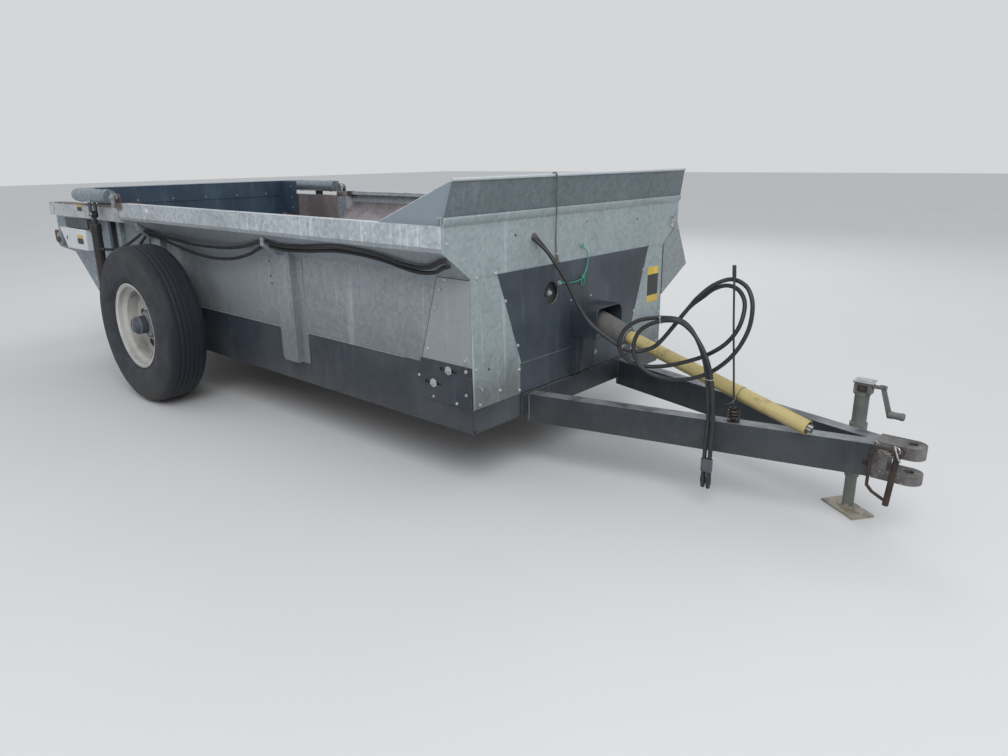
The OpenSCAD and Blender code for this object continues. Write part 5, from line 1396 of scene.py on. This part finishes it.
yellow, black, pale = bmesh.new(), bmesh.new(), bmesh.new()
plate(yellow, at(2.8560, .778, .850), LEFT, UP, .066, .112, .0008)
plate(black, at(2.8568, .778, .848), LEFT, UP, .064, .066, .0006)
for x, z, w, h in ((-1.490, 1.281, .050, .026), (-1.590, 1.017, .062, .038)):
    plate(yellow, at(x, -1.0001, z + h * .62), FRONT, UP, w, h * .36, .0010)
    plate(black, at(x, -1.0001, z - h * .38), FRONT, UP, w, h * .60, .0010)
piece("blank_yellow_plates", yellow, "frame_body", yellow_label)
piece("blank_black_plates", black, "frame_body", black_label)
plate(pale, at(-2.1270, -1.0001, 1.250), FRONT, UP, .020, .030, .0012)
piece("blank_pale_plate", pale, "frame_body", pale_label)

straps = bmesh.new()
for sign in (1, -1):
    chamfered(straps, at(-1.1200, sign * .9136, .998), FRONT * .0283, LEFT * .0178, UP * .2975, .003)
piece("rear_straps", straps, "frame_body", dark_paint)
# Painted shade: a dark plate stands in the recess between the rear rail and the guard, where there is shade.
recess = bmesh.new()
RECESS = [(-1.390, 1.112), (-1.865, 1.112), (-1.865, 1.192), (-1.390, 1.192)]
slab(recess, [at(x, -.9965, z) for x, z in RECESS], .0030, LEFT * -1)
piece("rear_recess_shade_plate", recess, "frame_body", cover_paint, bevel=.001)
oval = bmesh.new()
ring = []
for k in range(24):
    a = math.tau * k / 24
    ring.append(at(-1.885 + math.cos(a) * .011, -1.0002, 1.020 + math.sin(a) * .017))
slab(oval, ring, .0012, LEFT * -1)
piece("guard_slot", oval, "frame_body", shade_black)
print("blank plates laid")

# %% latch of the left shield
latch = bmesh.new()
plate(latch, at(2.8562, .996, 1.226), LEFT, UP, .020, .036, .0030)
hoop(latch, at(2.8700, .998, 1.238), Vector((0, 1, .3)), .0150, .0026)
tube(latch, catmull([
    at(2.8640, .990, 1.262), at(2.8740, .976, 1.250), at(2.8740, .962, 1.226), at(2.8640, .955, 1.204)], 6), .0034, 8)
bolt(latch, at(2.8590, .988, 1.200), FRONT, .0058, False)
bolt(latch, at(2.8590, 1.004, 1.252), FRONT, .0058, False)
tube(latch, [at(2.8600, 1.036, 1.190), at(2.8620, .960, 1.128), at(2.8600, .905, 1.092)], .0032, 8)
piece("shield_latch", latch, "frame_body", bright_zinc)
shield_bolts = bmesh.new()
for x in (2.79, 2.52, 2.24):
    bolt(shield_bolts, at(x, 1.1600, 1.0270), Vector((0, .86, .5)), .0060, False)
for y, z in ((.905, 1.050), (.905, .800), (1.050, 1.200), (1.190, .935)):
    bolt(shield_bolts, at(2.8558, y, z), FRONT, .0062, False)
piece("shield_bolts", shield_bolts, "frame_body", bolt_zinc)
print("latch made")

# %% [markdown]
# The hitch takes a pin that a linch pin keeps in place. The jack has a bright cap, a bevel gear behind an opening
# in its head, and a crank with a loose grip.

# %% hitch details
hitch = bmesh.new()
hoop(hitch, at(4.5600, -.1010, .4360), Vector((.5, 1, .2)), .0150, .0022)
tube(hitch, catmull([
    at(4.5480, -.0960, .4520), at(4.5580, -.1020, .4280), at(4.5700, -.1060, .4020), at(4.5800, -.1040, .3880)], 6),
    .0040, 10)
chain_start, chain_end = at(4.470, -.0760, .4480), at(4.548, -.0960, .4060)
for k in range(9):
    middle = chain_start.lerp(chain_end, k / 8) + DOWN * (.010 * math.sin(math.pi * k / 8))
    hoop(hitch, middle, Vector((0, 1, 0)) if k % 2 else Vector((.4, .3, 1)), .0064, .0016, sides=6, steps=14)
piece("linch_pin", hitch, "frame_body", bright_zinc)
hitch_marks = bmesh.new()
for z in (.4432, .3150):
    hoop(hitch_marks, at(4.598, 0, z), UP, .0185, .0016)
piece("hitch_worn_rings", hitch_marks, "frame_body", pin_steel)
socket = bmesh.new()
SOCKET = [(4.426, -.0772, .329), (4.446, -.0722, .329), (4.446, -.0722, .349), (4.426, -.0772, .349)]
slab(socket, [at(*corner) for corner in SOCKET], .0008, LEFT * -1)
piece("tongue_square_hole", socket, "frame_body", shade_black)
print("hitch details made")

# %% jack details
JACK = at(4.335, .1416, 0)
cap = bmesh.new()
chamfered(cap, JACK + Vector((.004, 0, .6425)), FRONT * .0440, LEFT * .0345, UP * .0048, .003)
chamfered(cap, JACK + Vector((.004, 0, .6480)), FRONT * .0350, LEFT * .0260, UP * .0018, .0015)
piece("jack_cap", cap, "frame_body", bright_zinc, bevel=.0015)
window = bmesh.new()
WINDOW = [(-.019, .596), (.025, .596), (.025, .628), (-.019, .628)]
slab(window, [JACK + Vector((x, -.0282, z)) for x, z in WINDOW], .0008, LEFT * -1)
piece("jack_head_opening", window, "frame_body", shade_black)
gear = bmesh.new()
teeth = []
for k in range(48):
    a = math.tau * k / 48
    r = .0140 if (k // 2) % 2 else .0118
    teeth.append(JACK + Vector((.003 + math.cos(a) * r, -.0291, .612 + math.sin(a) * r)))
slab(gear, teeth, .0030, LEFT * -1)
turned(gear, JACK + Vector((.003, -.0315, .612)), LEFT * -1, [(.0070, 0), (.0070, .004), (.005, .005)], 16)
piece("jack_gear", gear, "frame_body", spring_steel)
rim = bmesh.new()
RIM = [(-.021, .594), (.027, .594), (.027, .630), (-.021, .630)]
for a, b in zip(RIM, RIM[1:] + RIM[:1]):
    tube(rim, [JACK + Vector((x, -.0285, z)) for x, z in (a, b)], .0020, 8)
for dx in (-.028, .034):
    for dz in (.593, .631):
        bolt(rim, JACK + Vector((dx, -.0282, dz)), LEFT * -1, .0038, False)
piece("jack_opening_rim", rim, "frame_body", jack_paint)
grip = bmesh.new()
turned(grip, JACK + Vector((.120, 0, .506)), FRONT, [
    (.0140, -.003), (.0175, 0), (.0182, .006), (.0160, .020), (.0158, .040), (.0178, .054), (.0180, .060),
    (.0150, .0655), (.006, .0670)], 24)
piece("jack_grip", grip, "frame_body", grip_plastic)
washer = bmesh.new()
turned(washer, JACK + Vector((.0405, 0, .624)), FRONT, [(.0150, 0), (.0150, .004), (.0125, .005)], 20)
turned(washer, JACK + Vector((.0915, 0, .624)), FRONT, [(.0120, 0), (.0120, .005), (.0100, .007)], 6)
turned(washer, JACK + Vector((0, 0, .5775)), UP, [(.0350, 0), (.0350, .006), (.0330, .008)], 36)
piece("jack_collars", washer, "frame_body", jack_paint)
leg = bmesh.new()
turned(leg, JACK, UP, [(.0262, .012), (.0340, .0105), (.0345, .0125), (.0262, .0180)], 28, caps=False)
for k in range(3):
    plug = [(.0060, 0), (.0045, .0010), (.0030, .0012)]
    turned(leg, JACK + Vector((0, -.0250, .046 + .030 * k)), LEFT * -1, plug, 14)
piece("jack_leg_details", leg, "jack_leg_body", leg_paint)
print("jack details made")

# %% [markdown]
# The floor of the box moves. Two endless chains run round sprockets and pull steel slats over the planks. Each
# chain is made of stamped links: one link is drawn once and set down along the loop, every second one turned.

# %% apron chains and slats
FRONT_SHAFT_X, REAR_SHAFT_X = 2.720, -1.690
CHAIN_Z, SPROCKET_R = .728, .057


def loop_place(s):
    """A point and a direction on the loop at a distance along it."""
    straight = FRONT_SHAFT_X - REAR_SHAFT_X
    turn = math.pi * SPROCKET_R
    s %= 2 * straight + 2 * turn
    middle = CHAIN_Z - SPROCKET_R
    if s < straight:
        return at(REAR_SHAFT_X + s, 0, CHAIN_Z), Vector((1, 0, 0))
    s -= straight
    if s < turn:
        a = s / SPROCKET_R
        return (at(FRONT_SHAFT_X + math.sin(a) * SPROCKET_R, 0, middle + math.cos(a) * SPROCKET_R),
                Vector((math.cos(a), 0, -math.sin(a))))
    s -= turn
    if s < straight:
        return at(FRONT_SHAFT_X - s, 0, middle - SPROCKET_R), Vector((-1, 0, 0))
    a = (s - straight) / SPROCKET_R
    return (at(REAR_SHAFT_X - math.sin(a) * SPROCKET_R, 0, middle - math.cos(a) * SPROCKET_R),
            Vector((-math.cos(a), 0, math.sin(a))))


loop_length = 2 * (FRONT_SHAFT_X - REAR_SHAFT_X) + math.tau * SPROCKET_R
PITCH = loop_length / round(loop_length / .0508)
links = bmesh.new()
count = round(loop_length / PITCH)
for row in (-.620, .620):
    for k in range(count):
        mid, aim = loop_place((k + .5) * PITCH)
        normal = Vector((0, 1, 0)).cross(aim) * -1
        shift = Vector((0, row, 0))
        gap = .0155 if k % 2 else .0105
        for y in (-gap, gap):
            chamfered(links, mid + shift + Vector((0, y, 0)), aim * .0300, Vector((0, .0024, 0)), normal * .0078, .001)
        end, across = loop_place(k * PITCH)
        turned(links, end + Vector((0, row - .0180, 0)), Vector((0, 1, 0)), [(.0052, 0), (.0052, .0360)], 8)
piece("apron_links", links, "frame_body", chain_steel, replaces=("apron_chain",))

slats = bmesh.new()
SLATS = 13
STEP = (FRONT_SHAFT_X - REAR_SHAFT_X) / SLATS
LOWER_Z = CHAIN_Z - 2 * SPROCKET_R
WEB, ACROSS, DEEP = FRONT * .0028, LEFT * .866, UP * .0130
for k in range(SLATS):
    x = REAR_SHAFT_X + (k + .5) * STEP
    for low, high, out in ((CHAIN_Z, CHAIN_Z + .026, UP), (LOWER_Z - .026, LOWER_Z, DOWN)):
        middle = (low + high) / 2
        chamfered(slats, at(x - .0170, 0, middle), WEB, ACROSS, DEEP, .001)
        flange, face = (high - .0026, high) if out is UP else (low + .0026, low)
        chamfered(slats, at(x, 0, flange), FRONT * .0198, ACROSS, UP * .0026, .001)
        chamfered(slats, at(x + .0170, 0, middle), WEB, ACROSS, DEEP, .001)
        for y in (-.620, .620):
            for dy in (-.012, .012):
                bolt(slats, at(x, y + dy, face), out, .0050, False)
piece("apron_slats", slats, "frame_body", rust_steel, replaces=("apron_chain",))

teeth = bmesh.new()
for x in (FRONT_SHAFT_X, REAR_SHAFT_X):
    for y in (-.620, .620):
        ring = []
        for k in range(32):
            a = math.tau * k / 32
            r = (.0500, .0565, .0565, .0500)[k % 4]
            ring.append(at(x + math.cos(a) * r, y - .0065, CHAIN_Z - SPROCKET_R + math.sin(a) * r))
        slab(teeth, ring, .0130, Vector((0, 1, 0)))
piece("apron_sprocket_teeth", teeth, "frame_body", shaft_steel)
print("links in each chain:", count)

# %% [markdown]
# The beater's paddles are bolted to brackets on its tube, so that a bent one can be changed. Bolts, nuts and weld
# seams go on the beater's own body and turn with it.

# %% paddle bolts and welds on the beater
paddle_bolts, brackets = bmesh.new(), bmesh.new()
HALF = .856
for i in range(9):
    for side in (0, 180):
        y = -HALF + .030 + i * (2 * HALF - .060) / 8
        turn = math.radians(180 + side + i * 40)
        aim = Vector((math.cos(turn), 0, -math.sin(turn)))
        cross = Vector((math.sin(turn), 0, math.cos(turn)))
        heart = at(BEATER_X, y, BEATER_Z)
        for reach in (.118, .158):
            for off in (-.024, .024):
                spot = heart + aim * reach + cross * off
                bolt(paddle_bolts, spot + Vector((0, .0090, 0)), Vector((0, 1, 0)), .0090, False)
                bolt(paddle_bolts, spot - Vector((0, .0050, 0)), Vector((0, -1, 0)), .0090, True, .006)
        plate_place = heart + aim * .130 + Vector((0, .0070, 0))
        chamfered(brackets, plate_place, aim * .0520, LEFT * .0022, cross * .0420, .001)
        ring = []
        for k in range(9):
            a = -.60 + 1.2 * k / 8
            ring.append(heart + (aim * math.cos(a) + cross * math.sin(a)) * .0850 + Vector((0, .0095, 0)))
        weld(brackets, ring, .0042, i + side)
piece("paddle_bolts", paddle_bolts, "beater_body", bolt_zinc)
piece("paddle_brackets", brackets, "beater_body", rust_steel)
collars = bmesh.new()
for y in (-.842, .842):
    hoop(collars, at(BEATER_X, y, BEATER_Z), LEFT, .0835, .0040)
piece("beater_end_seams", collars, "beater_body", rust_steel)
print("paddles:", 18)

# %% pins of the cylinders and the gate
for side, sign in (("right", -1), ("left", 1)):
    out = Vector((0, sign, 0))
    top = bmesh.new()
    turned(top, at(-1.060, sign * 1.0250, 1.250), out, [(.0118, 0), (.0118, .068), (.0100, .070)], 20)
    turned(top, at(-1.060, sign * 1.0755, 1.250), out, [(.0190, 0), (.0190, .0035)], 20)
    tube(top, [at(-1.060, sign * 1.0850, 1.264), at(-1.060, sign * 1.0850, 1.232)], .0022, 6)
    piece("cylinder_top_pin_" + side, top, "gate_body", bright_zinc)
    low = bmesh.new()
    turned(low, at(-1.080, sign * 1.0795, .520), out, [(.0200, 0), (.0200, .0040)], 20)
    turned(low, at(-.660, sign * 1.0565, 1.385), out, [(.0240, 0), (.0240, .0030)], 20)
    turned(low, at(-.660, sign * 1.0640, 1.385), out, [(.0110, 0), (.0110, .0060), (.0080, .0075)], 6)
    piece("pin_washers_" + side, low, "frame_body", bolt_zinc)
    seal = bmesh.new()
    base = at(-1.080, sign * 1.055, .520)
    aim = (at(-1.060, sign * 1.055, 1.250) - base).normalized()
    for along, radius in ((.600, .0445), (.6180, .0440), (.048, .0390)):
        band = [(radius - .003, -.0030), (radius, -.0020), (radius, .0020), (radius - .003, .0030)]
        turned(seal, base + aim * along, aim, band, 32)
    piece("cylinder_rings_" + side, seal, f"cylinder_{side}_body", cylinder_paint)
    gland = bmesh.new()
    turned(gland, base, aim, [(.0400, .6190), (.0400, .6500), (.0375, .6560), (.0240, .6570)], 32)
    piece("cylinder_gland_" + side, gland, f"cylinder_{side}_body", cylinder_paint)
    flange = bmesh.new()
    for x in (-.83, -1.30):
        hoop(flange, at(x, sign * 1.030, 1.390), Vector((1, 0, 0)), .0505, .0030)
    turned(flange, at(-.7600, sign * 1.030, 1.390), FRONT, [(.0490, -.004), (.0490, .001), (.0475, .0025)], 32)
    piece("gate_pipe_bands_" + side, flange, "gate_body", pipe_zinc)
print("pins and washers placed")

# %% chain case and line shaft details
case = bmesh.new()
CASE_BOLTS = [(-2.240, 1.045), (-2.110, 1.070), (-2.010, 1.120), (-2.060, 1.172), (-2.190, 1.080), (-2.300, .880),
              (-2.380, .960), (-2.230, .930)]
for x, z in CASE_BOLTS:
    bolt(case, at(x, .9795, z), Vector((0, 1, 0)), .0055, False, .001)
turned(case, at(BEATER_X, .9795, BEATER_Z), LEFT, [(.0400, 0), (.0400, .006), (.0340, .0085), (.010, .0090)], 32)
piece("chain_case_bolts", case, "frame_body", bolt_zinc)
shaft_rings = bmesh.new()
for x in (-1.300, -1.262, 1.800, 1.842, 2.396, 2.438):
    turned(shaft_rings, at(x, .950, 1.118), FRONT, [(.0215, -.004), (.0215, .004)], 24)
piece("shaft_rings", shaft_rings, "frame_body", bolt_zinc)
rust_patch = bmesh.new()
weld(rust_patch, [at(-.5520, -1.064, 1.240), at(-.5520, -1.064, 1.345)], .0042, 21)
weld(rust_patch, [at(-.5520, 1.064, 1.240), at(-.5520, 1.064, 1.345)], .0042, 22)
piece("rail_end_welds", rust_patch, "frame_body", rust_steel)
print("drive details placed")

# %% [markdown]
# The lengths of the two hose lines are worked out last.

line_length(outer_line)
line_length(inner_line)
